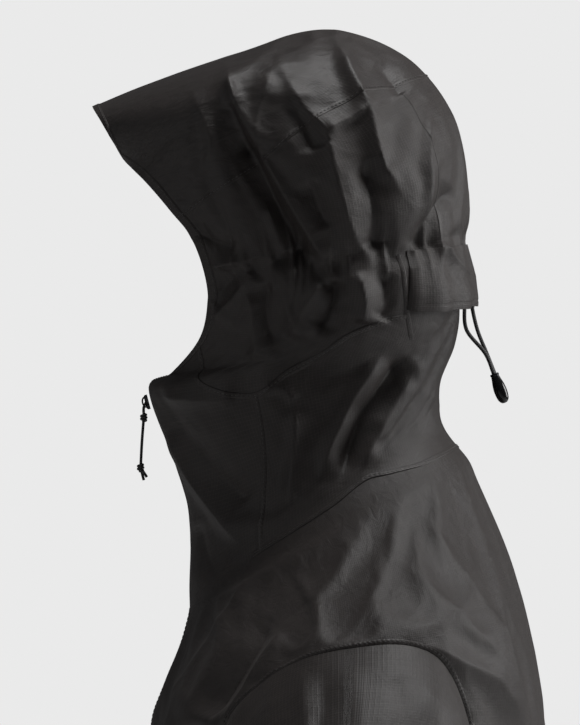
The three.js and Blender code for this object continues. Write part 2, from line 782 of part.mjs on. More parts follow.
// ---------------------------------------------------------------- side and pocket zips
// A welded zip: a flat strip on the outside of the body between two points on its surface.
function surfaceZip(low, high, share, width, side) {
  const half = 0.5 * width;
  return shell(2, 8, (i, j) => {
    const t = mix(low, high, j / 8);
    const s = side * share;
    const normal = garmentNormal(t, s);
    const up = garment(t + 1, s).sub(garment(t - 1, s)).normalize();
    const across = up.clone().cross(normal).multiplyScalar(half * (i - 1));
    const point = garment(t, s).addScaledVector(normal, LAYER + 1).add(across);
    return [point, point.clone().addScaledVector(normal, -1)];
  });
}
function sliderOn(t, share, side, lift) {
  const s = side * share;
  const up = garment(t + 20, s).sub(garment(t - 20, s)).normalize();
  const out = garmentNormal(t, s);
  const across = up.clone().cross(out).normalize();
  const seat = garment(t, s).addScaledVector(out, lift);
  return block(6, 2, 9, 0.6).applyMatrix4(
    new THREE.Matrix4().makeBasis(across, out.clone().negate(), up).setPosition(seat),
  );
}
const POCKET = { low: 150, high: 320, share: 0.73, width: 12 };
const PIT = { low: 205, high: 345, share: 0.5, width: 11 };
const SLIDER_SET_BACK = 8; // from the top end of a pocket or underarm zip to its closed slider
const ZIP_LIFT = 4.6;
bothSides(
  "pocket_zip",
  (side) => surfaceZip(POCKET.low, POCKET.high, POCKET.share, POCKET.width, side),
  ZIP_FILM,
);
bothSides(
  "pocket_slider",
  (side) => sliderOn(POCKET.high - SLIDER_SET_BACK, POCKET.share, side, ZIP_LIFT),
  PLASTIC,
);
bothSides(
  "pocket_bag",
  (side) =>
    panel({
      columns: 4,
      rows: 5,
      depth: CLOTH + 2 * LAYER,
      thickness: 1,
      height: (u, v) => mix(130, 330, v),
      share: (u) => side * mix(0.74, 0.9, u),
    }),
  LINING,
);
bothSides("pit_zip", (side) => surfaceZip(PIT.low, PIT.high, PIT.share, PIT.width, side), ZIP_FILM);
bothSides("pit_slider", (side) => sliderOn(PIT.high - SLIDER_SET_BACK, PIT.share, side, ZIP_LIFT), PLASTIC);

// ---------------------------------------------------------------- hem drawcord and its locks
const HEM = { t: 14, share: 0.44, lock: 14, proud: 6.5, bore: 3.1, button: 2.6 };
const hemPoints = [];
for (let i = 0; i <= 14; i += 1) {
  hemPoints.push(inside(HEM.t, mix(-HEM.share, HEM.share, i / 14), CLOTH + LAYER + CORD_R + 0.6));
}
add("hem_drawcord", cord(hemPoints, CORD_R, 30), CORD_FINISH);

function hemSeat(side) {
  const out = garmentNormal(HEM.t, side * HEM.share);
  return garment(HEM.t, side * HEM.share).addScaledVector(out, HEM.proud);
}
bothSides(
  "hem_cord_lock",
  (side) =>
    cutFrom(
      block(9, HEM.lock, 12, 1.5),
      new THREE.CylinderGeometry(HEM.bore, HEM.bore, 12, 12).translate(0, 6, 0),
    ).translate(...hemSeat(side).toArray()),
  PLASTIC,
);
bothSides(
  "hem_lock_button",
  (side) =>
    new THREE.CylinderGeometry(HEM.button, HEM.button, 9, 12)
      .translate(0, 8, 0)
      .translate(...hemSeat(side).toArray()),
  PLASTIC,
);

// The garment is drawn about its own centre line; the part's origin is the middle of the floor under
// the whole jacket, which the brim pushes forward of that line.
jacket.position.set(0, 6.96, -HEM_T);

export default jacket;
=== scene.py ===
"""Hooded hardshell jacket: fabric, seams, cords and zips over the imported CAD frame."""

import math

import bpy
import numpy as np
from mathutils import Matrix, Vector


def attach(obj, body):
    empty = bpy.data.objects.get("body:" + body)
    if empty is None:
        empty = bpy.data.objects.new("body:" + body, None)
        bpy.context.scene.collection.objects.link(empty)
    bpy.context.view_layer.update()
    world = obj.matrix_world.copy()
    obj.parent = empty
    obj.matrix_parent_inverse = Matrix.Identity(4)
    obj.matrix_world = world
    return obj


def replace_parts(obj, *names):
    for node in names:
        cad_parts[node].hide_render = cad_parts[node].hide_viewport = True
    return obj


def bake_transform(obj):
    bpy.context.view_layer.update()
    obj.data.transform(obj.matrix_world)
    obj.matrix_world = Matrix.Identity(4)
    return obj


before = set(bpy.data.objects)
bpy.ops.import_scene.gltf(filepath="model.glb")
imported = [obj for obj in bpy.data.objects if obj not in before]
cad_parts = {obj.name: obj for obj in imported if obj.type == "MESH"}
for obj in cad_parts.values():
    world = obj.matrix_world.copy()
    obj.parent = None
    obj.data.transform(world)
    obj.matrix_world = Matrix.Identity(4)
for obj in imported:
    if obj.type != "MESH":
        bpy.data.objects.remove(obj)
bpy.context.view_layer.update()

MM = 0.001
ORIGIN = np.array([0.0, 6.96, -4.0])  # where the CAD puts the garment's own centre line, mm
SIDES = (("left", 1), ("right", -1))


# ------------------------------------------------------------------ garment surface, mm
# Stations of the CAD surface: height up the garment, front y z, back y z, half width, half breadth
# of the front opening, squareness.
STATIONS = np.array([
    [0, -116, 12, 120, 0, 205, 0, 2.5],
    [200, -116, 205, 120, 200, 194, 0, 2.5],
    [400, -119, 402, 134, 402, 195, 0, 2.45],
    [533, -114, 533, 138, 535, 204, 0, 2.4],
    [575, -104, 562, 132, 588, 207, 0, 2.3],
    [612, -96, 582, 124, 622, 197, 0, 2.2],
    [652, -92, 596, 112, 660, 160, 0, 2.1],
    [692, -90, 606, 94, 696, 118, 0, 2.1],
    [730, -90, 618, 73, 724, 88, 0, 2.1],
    [770, -92, 680, 70, 748, 80, 0, 2.1],
    [810, -116, 748, 79, 775, 80, 0, 2.1],
    [830, -101, 759, 82, 790, 84, 30, 2],
    [855, -83, 781, 83, 803, 88, 58, 2],
    [880, -78, 805, 86, 819, 91, 68, 2],
    [905, -81, 826, 89, 840, 92, 72, 2],
    [945, -90, 847, 89, 880, 95, 74, 2],
    [985, -101, 861, 79, 924, 95, 73, 2],
    [1030, -111, 873, 48, 962, 93, 70, 2],
    [1080, -119, 882, 0, 978, 90, 66, 2],
    [1140, -125, 888, -60, 963, 83, 60, 2],
    [1200, -129, 892, -118, 943, 73, 55, 2],
    [1240, -131, 894, -152, 929, 60, 52, 2],
], float)
HEM_T = 4.0
BRIM_T = 1241.0
COIL_HALF = 4.0  # half the gap between the front panels


def through(keys, at):
    """Smooth curve through (position, value) keys."""
    xs, ys = np.array(keys, float).T
    at = np.clip(np.asarray(at, float), xs[0], xs[-1])
    step = np.arange(len(xs))
    lo = np.maximum(step - 1, 0)
    hi = np.minimum(step + 1, len(xs) - 1)
    slope = (ys[hi] - ys[lo]) / (xs[hi] - xs[lo])
    i = np.clip(np.searchsorted(xs, at, side="left") - 1, 0, len(xs) - 2)
    w = xs[i + 1] - xs[i]
    u = (at - xs[i]) / w
    ends = ys[i] * (1 + 2 * u) * (1 - u) ** 2 + ys[i + 1] * u * u * (3 - 2 * u)
    return ends + w * (slope[i] * u * (1 - u) ** 2 - slope[i + 1] * u * u * (1 - u))


def station(column, t):
    return through(STATIONS[:, [0, column]], t)


def garment(t, s):
    """Point of the garment: t up the garment, s from 0 at the centre back to +-1 at the front."""
    t, s = np.broadcast_arrays(np.asarray(t, float), np.asarray(s, float))
    a = np.minimum(np.abs(s), 1)
    power = 2 / station(7, t)
    half = station(5, t)
    edge = np.maximum(station(6, t), 0)
    turn = np.minimum(a * np.pi, np.pi / 2)
    rear_across = 0.5 * (1 - np.maximum(np.cos(turn), 0) ** power)
    rear_x = half * np.sin(turn) ** power
    whole = (np.pi / 2) * (1 - 0.6 * np.minimum(1, edge / 40))
    turn = np.maximum(2 * a - 1, 0) * whole
    share = (np.cos(turn) - np.cos(whole)) / (1 - np.cos(whole))
    fore_x = edge + (half - edge) * np.maximum(share, 0) ** power
    fore_across = 0.5 + 0.5 * (np.sin(turn) / np.sin(whole)) ** power
    across = np.where(a < 0.5, rear_across, fore_across)
    x = np.where(a < 0.5, rear_x, fore_x)
    y = station(3, t) + (station(1, t) - station(3, t)) * across
    z = station(4, t) + (station(2, t) - station(4, t)) * across
    return np.stack([np.where(s < 0, -x, x), y, z], -1)


def unit(v):
    return v / np.maximum(np.linalg.norm(v, axis=-1, keepdims=True), 1e-9)


def garment_normal(t, s):
    ds = 0.004
    t, s = np.broadcast_arrays(np.asarray(t, float), np.asarray(s, float))
    at = np.clip(s, -1 + ds, 1 - ds)
    along = garment(t + 1, at) - garment(t - 1, at)
    around = garment(t, at + ds) - garment(t, at - ds)
    return unit(np.cross(along, around))


def share_at_x(t, x):
    """The share s at which the front of the ring at t is x from the centre line."""
    t = np.asarray(t, float)
    lo = np.full(t.shape, 0.5)
    hi = np.ones(t.shape)
    for _ in range(30):
        mid = (lo + hi) / 2
        wide = garment(t, mid)[..., 0] > x
        lo = np.where(wide, mid, lo)
        hi = np.where(wide, hi, mid)
    return lo


# ------------------------------------------------------------------ seams, as t along s or s along t
TOP_SEAM = [(0, 1010), (0.2, 1016), (0.3, 1021), (0.43, 1020), (0.64, 1002), (0.83, 987), (1, 968)]
SIDE_SEAM = [(0, 856), (0.3, 854), (0.44, 842), (0.5, 818), (0.6, 802), (0.8, 822), (1, 853)]
NECKLINE = [(0, 711), (0.23, 714), (0.32, 722), (0.38, 729), (0.47, 726), (0.66, 727), (1, 727)]
CHIN_SEAM = [(727, 0.645), (756, 0.64), (772, 0.625), (788, 0.607), (803, 0.6)]
CASING_EDGE = [(826, 0.255), (836, 0.27), (862, 0.295), (904, 0.32)]


def top_seam(s):
    return through(TOP_SEAM, np.abs(s))


def side_seam(s):
    return through(SIDE_SEAM, np.abs(s))


def neckline(s):
    return through(NECKLINE, np.abs(s))


def chin_seam(t):
    return through(CHIN_SEAM, t)


# ------------------------------------------------------------------ folds
# Each fold is a line over the side view, in the garment's own y and z: height of the fold (negative
# for a valley), half width, and the points it runs through. The points were read off the photograph and
# turned into these millimetres by a helper program.
HOOD_FOLDS = [
    ("brim_root_ridge", 3.4, 8, [(-67, 958), (-61, 933), (-47, 907), (-31, 879), (-13, 850), (1, 826)]),
    ("brim_root_dip", -3.0, 8, [(-65, 933), (-56, 914), (-50, 895)]),
    ("brim_crease", 1.0, 5, [(-92, 945), (-81, 921), (-76, 903), (-83, 881)]),
    ("temple_valley", -5.5, 13, [(-53, 914), (-44, 892), (-33, 869), (-20, 844), (-12, 830)]),
    ("crown_front_ridge", 3.0, 8,
     [(-31, 955), (-18, 932), (-3, 916), (4, 892), (10, 869), (17, 849), (29, 831)]),
    ("crown_front_soft", 2.0, 9, [(-37, 953), (-44, 927), (-46, 901)]),
    ("crown_front_hollow", -2.0, 10, [(-23, 937), (-13, 917), (-8, 901)]),
    ("side_mid_hollow", -2.4, 8, [(-12, 885), (-5, 866), (1, 853)]),
    ("crown_top_ridge", 3.6, 8, [(4, 974), (13, 953), (24, 930), (29, 911), (35, 892), (46, 876)]),
    ("crown_link", 2.0, 5, [(-2, 915), (10, 922), (24, 930)]),
    ("side_valley", -4.2, 11, [(24, 901), (28, 876), (31, 853), (33, 836)]),
    ("crown_rear_crease", -2.0, 6, [(32, 962), (44, 946), (48, 939)]),
    ("rear_ridge", 1.6, 5, [(67, 927), (65, 901), (65, 873), (66, 853)]),
    ("rear_valley", -2.8, 8, [(84, 879), (67, 859), (59, 837)]),
    ("flap_ridge", 2.6, 7, [(74, 844), (81, 830), (91, 815)]),
    ("temple_ridge", 2.6, 8, [(-41, 869), (-31, 844), (-26, 834)]),
    ("temple_small_ridge", 1.6, 5, [(-57, 830), (-44, 833), (-33, 832)]),
    ("brim_low_valley", -2.6, 8, [(-88, 847), (-74, 842), (-58, 837)]),
    ("gather_low_front", 2.2, 6, [(-75, 826), (-59, 830), (-48, 825)]),
    ("cheek_diag", 2.4, 7, [(-46, 825), (-59, 810), (-76, 791)]),
    ("cheek_diag_dip", -2.6, 8, [(-58, 823), (-69, 812), (-77, 802)]),
    ("cheek_drop", 2.4, 8, [(-50, 812), (-47, 786), (-46, 766)]),
    ("cheek_drop_2", -2.4, 8, [(-38, 818), (-40, 798), (-35, 777)]),
    ("jaw_ridge", 2.8, 8, [(-3, 821), (-15, 802), (-26, 780)]),
    ("jaw_valley", -4.0, 8, [(5, 821), (3, 805), (-8, 785)]),
    ("ear_ridge", 3.0, 8, [(19, 826), (22, 805), (20, 791)]),
    ("ear_hollow", -2.4, 9, [(36, 825), (37, 805), (32, 793)]),
    ("neck_valley", -4.6, 8, [(52, 772), (42, 761), (31, 748), (20, 732), (13, 713), (6, 691)]),
    ("neck_ridge", 2.6, 9, [(35, 772), (20, 751), (10, 732), (1, 713), (-8, 690)]),
    ("neck_ridge_rear", 2.2, 8, [(52, 759), (40, 741), (29, 719), (19, 697)]),
    ("nape_ridge", 0.8, 8, [(55, 770), (58, 749), (68, 741)]),
    ("collar_fold", 2.4, 7, [(-22, 739), (-23, 708), (-27, 677)]),
    ("collar_bar", 1.4, 4, [(-44, 750), (-29, 749), (-22, 741)]),
    ("chin_ridge", 3.4, 9, [(-104, 723), (-89, 696), (-74, 675), (-54, 647)]),
    ("chin_valley", -2.0, 9, [(-95, 722), (-79, 700), (-63, 687), (-52, 677)]),
    ("chin_low_valley", -1.8, 10, [(-86, 665), (-79, 639), (-70, 629)]),
    ("zip_side_fold", 2.0, 7, [(-110, 744), (-83, 743), (-58, 743)]),
]
BODY_FOLDS = [
    ("front_ridge", 5.5, 10, [(-46, 634), (-63, 613), (-79, 592), (-93, 569), (-108, 542)]),
    ("front_crease", -5.5, 8, [(-41, 611), (-54, 590), (-65, 570), (-78, 538)]),
    ("front_ridge_2", 3.4, 8, [(-31, 606), (-47, 581), (-59, 556), (-69, 533)]),
    ("shoulder_soft", -1.6, 12, [(-15, 620), (-32, 611), (-41, 601)]),
    ("back_ridge_1", 2.4, 10, [(56, 677), (83, 639), (109, 601), (124, 556)]),
    ("back_ridge_2", 2.4, 10, [(42, 647), (70, 620), (102, 588), (128, 549)]),
    ("back_ridge_3", 1.6, 6, [(78, 686), (92, 679)]),
    ("back_ridge_4", 3.2, 9, [(58, 590), (83, 578), (106, 566), (122, 540)]),
    ("back_valley", -4.2, 9, [(55, 581), (70, 567), (84, 549), (91, 533)]),
    ("back_line", 1.6, 6, [(101, 652), (115, 613), (129, 575)]),
]


def smooth(a, b, x):
    u = np.clip((x - a) / (b - a), 0, 1)
    return u * u * (3 - 2 * u)


def fold_line(points, steps=40):
    points = np.array(points, float)
    along = np.linspace(0, len(points) - 1, steps)
    keys = np.arange(len(points))
    return np.stack([through(np.stack([keys, points[:, k]], 1), along) for k in (0, 1)], 1)


CREST = 0.42  # share of a fold that is its crisp crest
CREST_WIDTH = 0.42


def fold_height(yz, folds, shift=(0.0, 0.0), gain=1.0):
    """Summed height of the folds at points of the side view."""
    flat = yz.reshape(-1, 2)
    total = np.zeros(len(flat))
    for _, height, width, points in folds:
        line = fold_line(points) + np.array(shift)
        reach = 3 * width
        near = np.all((flat > line.min(0) - reach) & (flat < line.max(0) + reach), 1)
        where = np.nonzero(near)[0]
        if not len(where):
            continue
        p = flat[where]
        best = np.full(len(p), 1e9)
        place = np.zeros(len(p))
        side = np.zeros(len(p))
        for k in range(len(line) - 1):
            a, b = line[k], line[k + 1]
            d = b - a
            u = np.clip(((p - a) @ d) / (d @ d), 0, 1)
            off = p - a - u[:, None] * d
            dist = np.hypot(off[:, 0], off[:, 1])
            closer = dist < best
            best = np.where(closer, dist, best)
            place = np.where(closer, (k + u) / (len(line) - 1), place)
            side = np.where(closer, np.sign(off[:, 0] * d[1] - off[:, 1] * d[0]), side)
        taper = smooth(0, 0.18, place) * smooth(1, 0.82, place) * 0.85 + 0.15
        w = width * np.where(height > 0, np.where(side > 0, 0.75, 1.15), 1.0)
        crest = CREST * np.exp(-best / (CREST_WIDTH * w))
        total[where] += gain * height * taper * ((1 - CREST) * np.exp(-((best / w) ** 2)) + crest)
    return total.reshape(yz.shape[:-1])


def side_fold_height(points, folds):
    """The folds of the wearer's left side, and a looser copy of them on the right."""
    x = points[..., 0]
    yz = points[..., 1:]
    left = fold_height(yz, folds)
    sway = np.stack([5 * np.sin(yz[..., 1] / 31), 6 * np.sin(yz[..., 0] / 23)], -1)
    right = fold_height(yz + sway, folds, shift=(4.0, -7.0), gain=0.85)
    w = smooth(-18, 18, x)
    return left * w + right * (1 - w)


def waves(u, v, seed, length, spread):
    """Sum of a few long waves with random directions: gentle unevenness, about -1 to 1."""
    rng = np.random.default_rng(seed)
    total = np.zeros(np.broadcast(u, v).shape)
    for _ in range(7):
        a = rng.uniform(0, np.pi)
        k = 2 * np.pi / (length * rng.uniform(0.7, 1.5))
        phase = rng.uniform(0, 2 * np.pi)
        total = total + np.sin(k * (u * np.cos(a) + spread * v * np.sin(a)) + phase)
    return total / 4


GATHER = [(-80, 829), (-50, 830), (-30, 833), (-8, 832), (8, 830), (20, 838), (49, 836), (66, 840), (84, 845)]
GATHER_PITCH = 14.0


def gather_height(points, s):
    """The cinched line at the temples: a groove crossed by puckers that fade away from it."""
    y, z = points[..., 1], points[..., 2]
    rise = z - through(GATHER, y)
    q = np.abs(s) * 250
    ready = smooth(0.9, 0.78, np.abs(s))
    deep = 0.62 + 0.38 * np.sin(q / 15 + 1.2) * np.sin(q / 6.3 + 0.4)
    groove = -2.8 * deep * np.exp(-((rise / 6.5) ** 2)) - 2.4 * np.exp(-((rise / 19) ** 2))
    phase = 2 * np.pi * q / GATHER_PITCH + 2.6 * np.sin(q / 12) + 1.4 * np.sin(q / 5.1 + np.sign(s))
    phase = phase + 0.05 * rise * np.sin(q / 21 + 0.6)
    pleat = (1 - np.abs(np.sin(phase / 2))) ** 1.4
    size = 0.55 + 0.45 * np.sin(q / 9.0 + 2.0 * np.sign(s))
    reach = 9 + 9 * (0.5 + 0.5 * np.sin(q / 13.0 + 0.9))
    pucker = 4.6 * size * (pleat - 0.25) * np.exp(-np.abs(rise) / reach)
    return ready * (groove + pucker)


FOLD_GAIN = 1.9


def hood_relief(t, s, points):
    stiff = smooth(1105, 1160, t)  # the laminated brim stays smooth
    collar = smooth(727, 745, t)
    height = FOLD_GAIN * side_fold_height(points, HOOD_FOLDS) * collar
    height = height + gather_height(points, s) * smooth(800, 812, t)
    q = s * 250
    loose = waves(q, t, 3, 74, 0.7) * 0.9 + waves(q, t, 8, 27, 0.45) * 0.4 + waves(q, t, 9, 12, 0.6) * 0.12
    edge = smooth(1.0, 0.93, np.abs(s)) * 0.8 + 0.2
    return (height + loose * collar) * (1 - 0.85 * stiff) * edge


def body_relief(t, s, points):
    collar = smooth(708, 690, t)
    height = side_fold_height(points, BODY_FOLDS) * collar
    q = s * 500
    lower = smooth(560, 420, t)
    hang = t * (1 - 0.55 * lower)  # the folds below the chest hang long and upright
    loose = waves(q, hang, 11, 150, 0.5) * (0.8 + 3.4 * lower)
    loose = loose + waves(q, hang, 5, 46, 0.8) * (0.25 + 1.5 * lower)
    front = smooth(1.0, 0.965, np.abs(s))
    hem = smooth(10, 90, t)  # the hem is held by its drawcord
    return height * (0.3 + 0.7 * front) + loose * front * collar * hem


# ------------------------------------------------------------------ meshes
def to_frame(points):
    return (np.asarray(points, float) + ORIGIN) * MM


def new_object(name, vertices, faces, material, smooth_faces=True):
    mesh = bpy.data.meshes.new(name)
    mesh.from_pydata([tuple(v) for v in vertices], [], [tuple(f) for f in faces])
    mesh.validate()
    mesh.update()
    mesh.polygons.foreach_set("use_smooth", [smooth_faces] * len(mesh.polygons))
    obj = bpy.data.objects.new(name, mesh)
    bpy.context.scene.collection.objects.link(obj)
    mesh.materials.append(material)
    return obj


def grid_mesh(name, outer, inner, material, uv, wrap=False):
    """A closed shell between two grids of points (rows, columns, 3), in mm, with UVs in mm."""
    rows, cols = outer.shape[:2]
    layer = rows * cols
    grid = np.arange(layer).reshape(rows, cols)
    if wrap:
        grid = np.concatenate([grid, grid[:, :1]], 1)
    a, b = grid[:-1, :-1].ravel(), grid[:-1, 1:].ravel()
    c, d = grid[1:, 1:].ravel(), grid[1:, :-1].ravel()
    faces = [np.stack([a, b, c, d], 1), np.stack([d, c, b, a], 1) + layer]
    rims = [grid[0][::-1], grid[-1]]
    if not wrap:
        rims += [grid[:, 0], grid[:, -1][::-1]]
    for rim in rims:
        faces.append(np.stack([rim[:-1], rim[1:], rim[1:] + layer, rim[:-1] + layer], 1))
    faces = np.concatenate(faces).astype(np.int32)
    points = to_frame(np.concatenate([outer.reshape(-1, 3), inner.reshape(-1, 3)]))
    # Faces point out: the shell's signed volume says which way they were wound.
    p = points[faces]
    volume = np.einsum("ij,ij->i", p[:, 0], np.cross(p[:, 1], p[:, 2])).sum()
    volume += np.einsum("ij,ij->i", p[:, 0], np.cross(p[:, 2], p[:, 3])).sum()
    if volume < 0:
        faces = faces[:, ::-1]
    mesh = bpy.data.meshes.new(name)
    mesh.vertices.add(len(points))
    mesh.vertices.foreach_set("co", points.ravel())
    mesh.loops.add(faces.size)
    mesh.loops.foreach_set("vertex_index", faces.ravel())
    mesh.polygons.add(len(faces))
    mesh.polygons.foreach_set("loop_start", np.arange(0, faces.size, 4, dtype=np.int32))
    mesh.update(calc_edges=True)
    mesh.polygons.foreach_set("use_smooth", np.ones(len(faces), bool))
    layer_uv = mesh.uv_layers.new(name="cloth")
    uv = np.concatenate([uv.reshape(-1, 2), uv.reshape(-1, 2)])
    layer_uv.data.foreach_set("uv", uv[faces.ravel()].astype(np.float32).ravel())
    edges = np.empty(len(mesh.edges) * 2, np.int32)
    mesh.edges.foreach_get("vertices", edges)
    edges = edges.reshape(-1, 2)
    border = np.zeros(2 * layer, bool)
    for rim in rims:
        border[rim] = True
        border[rim + layer] = True
    sharp = border[edges].all(1) & ((edges[:, 0] < layer) == (edges[:, 1] < layer))
    flag = mesh.attributes.new("sharp_edge", "BOOLEAN", "EDGE")
    flag.data.foreach_set("value", sharp)
    mesh.materials.append(material)
    obj = bpy.data.objects.new(name, mesh)
    bpy.context.scene.collection.objects.link(obj)
    return obj


THICK = 1.1  # shell fabric with its backing, mm
SETTLED = {}  # filled in by the cloth run: drape offsets on a grid of (t, s)


def spline_weights(u):
    """Cubic B-spline weights of the four grid lines round a place between two of them."""
    second = (3 * u ** 3 - 6 * u * u + 4) / 6
    third = (-3 * u ** 3 + 3 * u * u + 3 * u + 1) / 6
    return (1 - u) ** 3 / 6, second, third, u ** 3 / 6


def settle(region, t, s):
    """The cloth run's offset at (t, s), read smoothly from its grid."""
    if region not in SETTLED:
        return 0.0
    ts, ss, field = SETTLED[region]
    i = np.clip((t - ts[0]) / (ts[1] - ts[0]), 0, len(ts) - 1.001)
    j = np.clip((s - ss[0]) / (ss[1] - ss[0]), 0, len(ss) - 1.001)
    i0, j0 = i.astype(int), j.astype(int)
    total = 0.0
    for a, wa in zip(range(-1, 3), spline_weights((i - i0)[..., None])):
        row = np.clip(i0 + a, 0, len(ts) - 1)
        for b, wb in zip(range(-1, 3), spline_weights((j - j0)[..., None])):
            total = total + wa * wb * field[row, np.clip(j0 + b, 0, len(ss) - 1)]
    return total


def draped(region, t, s, lift=0.0):
    """The finished outside of the fabric at (t, s), and its base normal."""
    base = garment(t, s)
    normal = garment_normal(t, s)
    relief = hood_relief if region == "hood" else body_relief
    height = relief(t, s, base) + lift
    return base + normal * height[..., None] + settle(region, t, s), normal


def cloth_panel(name, region, t, s, material, lift=0.0, thick=THICK):
    outer, normal = draped(region, t, s, lift)
    girth = 260 if region == "hood" else 520
    uv = np.stack([s * girth, t], -1)
    return grid_mesh(name, outer, outer - normal * thick, material, uv)


def lerp(a, b, u):
    return a + (b - a) * u


def solve_patch(u, v, s_low, s_high, t_low, t_high, rounds=6):
    """A patch between two seams that run along the garment and two that run across it."""
    s = lerp(s_low(np.full_like(v, 780.0)), s_high(np.full_like(v, 780.0)), u)
    t = v * 0
    for _ in range(rounds):
        t = lerp(t_low(s), t_high(s), v)
        s = lerp(s_low(t), s_high(t), u)
    return t, s


# ------------------------------------------------------------------ materials
class Finish:
    """A material under construction: its nodes, its links and its principled shader."""

    def __init__(self, name):
        self.material = bpy.data.materials.new(name)
        self.material.use_nodes = True
        tree = self.material.node_tree
        self.nodes, self.links = tree.nodes, tree.links
        self.nodes.clear()
        out = self.nodes.new("ShaderNodeOutputMaterial")
        self.shader = self.node("BsdfPrincipled")
        self.links.new(self.shader.outputs[0], out.inputs[0])

    def fill(self, node, values):
        """Links the sockets and sets the plain values among a node's inputs."""
        for key, value in values.items():
            if isinstance(value, bpy.types.NodeSocket):
                self.links.new(value, node.inputs[key])
            else:
                node.inputs[key].default_value = value
        return node

    def node(self, kind, values={}):
        return self.fill(self.nodes.new("ShaderNode" + kind), values)

    def math(self, operation, a, b=None):
        node = self.nodes.new("ShaderNodeMath")
        node.operation = operation
        return self.fill(node, {0: a} if b is None else {0: a, 1: b}).outputs[0]

    def cloth_map(self):
        uv = self.node("UVMap")
        uv.uv_map = "cloth"
        return uv.outputs[0]

    def noise(self, place, scale, detail, distortion=0.0):
        values = {"Vector": place, "Scale": scale, "Detail": detail, "Distortion": distortion}
        return self.node("TexNoise", values).outputs["Fac"]

    def paint(self, colour, tone):
        scale = self.nodes.new("ShaderNodeVectorMath")
        scale.operation = "SCALE"
        self.fill(scale, {0: colour, "Scale": tone})
        self.fill(self.shader, {"Base Color": scale.outputs[0]})

    def raised(self, height, strength, distance, under=None):
        """A bump of distance metres, over the normal of another one if it is given."""
        values = {"Height": height, "Strength": strength, "Distance": distance}
        if under is not None:
            values["Normal"] = under
        return self.node("Bump", values).outputs[0]


THREAD_RISE = 0.00025  # m, a thread above its neighbours
GRAIN_RISE = 0.0002
CRUMPLE_RISE = 0.0012
WARM_SHEEN = (1.0, 0.93, 0.9, 1)


def fabric(name, colour, roughness=0.52, rib=1.9, weave=0.5, sheen=0.04, bump=0.3, mottling=0.12,
           mapped=True):
    """Woven shell cloth: fine threads and a ripstop rib in millimetres, with soft mottling.
    A piece without a cloth UV map is woven along its own x and z."""
    make = Finish(name)
    if mapped:
        place = make.cloth_map()
    else:
        own = make.node("TexCoord").outputs["Object"]
        turned_up = {0: own, "Rotation": (math.radians(-90), 0, 0), "Scale": (1 / MM, 1 / MM, 1 / MM)}
        place = make.node("Mapping", turned_up).outputs[0]
    split = make.node("SeparateXYZ", {0: place}).outputs
    sets = []
    for axis, period, sharp in ((0, rib, 6), (1, rib * 0.9, 6), (0, weave, 1), (1, weave, 1)):
        wave = make.math("SINE", make.math("MULTIPLY", split[axis], 2 * math.pi / period))
        wave = make.math("ADD", make.math("MULTIPLY", wave, 0.5), 0.5)
        sets.append(make.math("POWER", wave, sharp))
    ribs = make.math("ADD", sets[0], sets[1])
    threads = make.math("MULTIPLY", sets[2], sets[3])
    height = make.math("ADD", make.math("MULTIPLY", ribs, 0.6), threads)
    patches = {"From Min": 0.3, "From Max": 0.7, "To Min": 1 - mottling, "To Max": 1 + mottling}
    patches["Value"] = make.noise(place, 0.09, 5)
    tone = make.math("ADD", make.math("MULTIPLY", ribs, 0.3), 0.86)
    tone = make.math("MULTIPLY", tone, make.node("MapRange", patches).outputs[0])
    grain = make.math("ADD", make.math("MULTIPLY", make.noise(place, 1.1, 2), 0.3), 0.85)
    make.paint(colour, make.math("MULTIPLY", tone, grain))
    crumple = make.raised(make.noise(place, 0.07, 4, 0.8), 0.6, CRUMPLE_RISE)
    make.fill(make.shader, {"Roughness": roughness, "Specular IOR Level": 0.4, "Sheen Weight": sheen,
                            "Sheen Roughness": 0.45, "Sheen Tint": WARM_SHEEN,
                            "Normal": make.raised(height, bump, THREAD_RISE, crumple)})
    return make.material


def plain(name, colour, roughness, bump=0.1, scale=900.0, sheen=0.0, metallic=0.0):
    """Moulded or twisted material with a fine grain and slightly worn, uneven gloss."""
    make = Finish(name)
    grain = make.noise(make.node("TexCoord").outputs["Object"], scale, 4)
    worn = {"Value": grain, "To Min": roughness - 0.08, "To Max": roughness + 0.1}
    make.paint(colour, make.math("ADD", make.math("MULTIPLY", grain, 0.5), 0.75))
    make.fill(make.shader, {"Roughness": make.node("MapRange", worn).outputs[0], "Sheen Weight": sheen,
                            "Metallic": metallic, "Normal": make.raised(grain, bump, GRAIN_RISE)})
    return make.material


def braid(name, colour):
    """Braided cord: two sets of strands crossing in the UV map's millimetres."""
    make = Finish(name)
    split = make.node("SeparateXYZ", {0: make.cloth_map()}).outputs
    along = make.math("MULTIPLY", split[0], 2 * math.pi / 1.3)
    around = make.math("MULTIPLY", split[1], 2 * math.pi / 2)
    crossing = [make.math("SINE", make.math(way, along, around)) for way in ("ADD", "SUBTRACT")]
    height = make.math("MAXIMUM", *crossing)
    make.paint(colour, make.math("ADD", make.math("MULTIPLY", height, 0.35), 0.8))
    make.fill(make.shader, {"Roughness": 0.7, "Sheen Weight": 0.4,
                            "Normal": make.raised(height, 0.7, THREAD_RISE)})
    return make.material


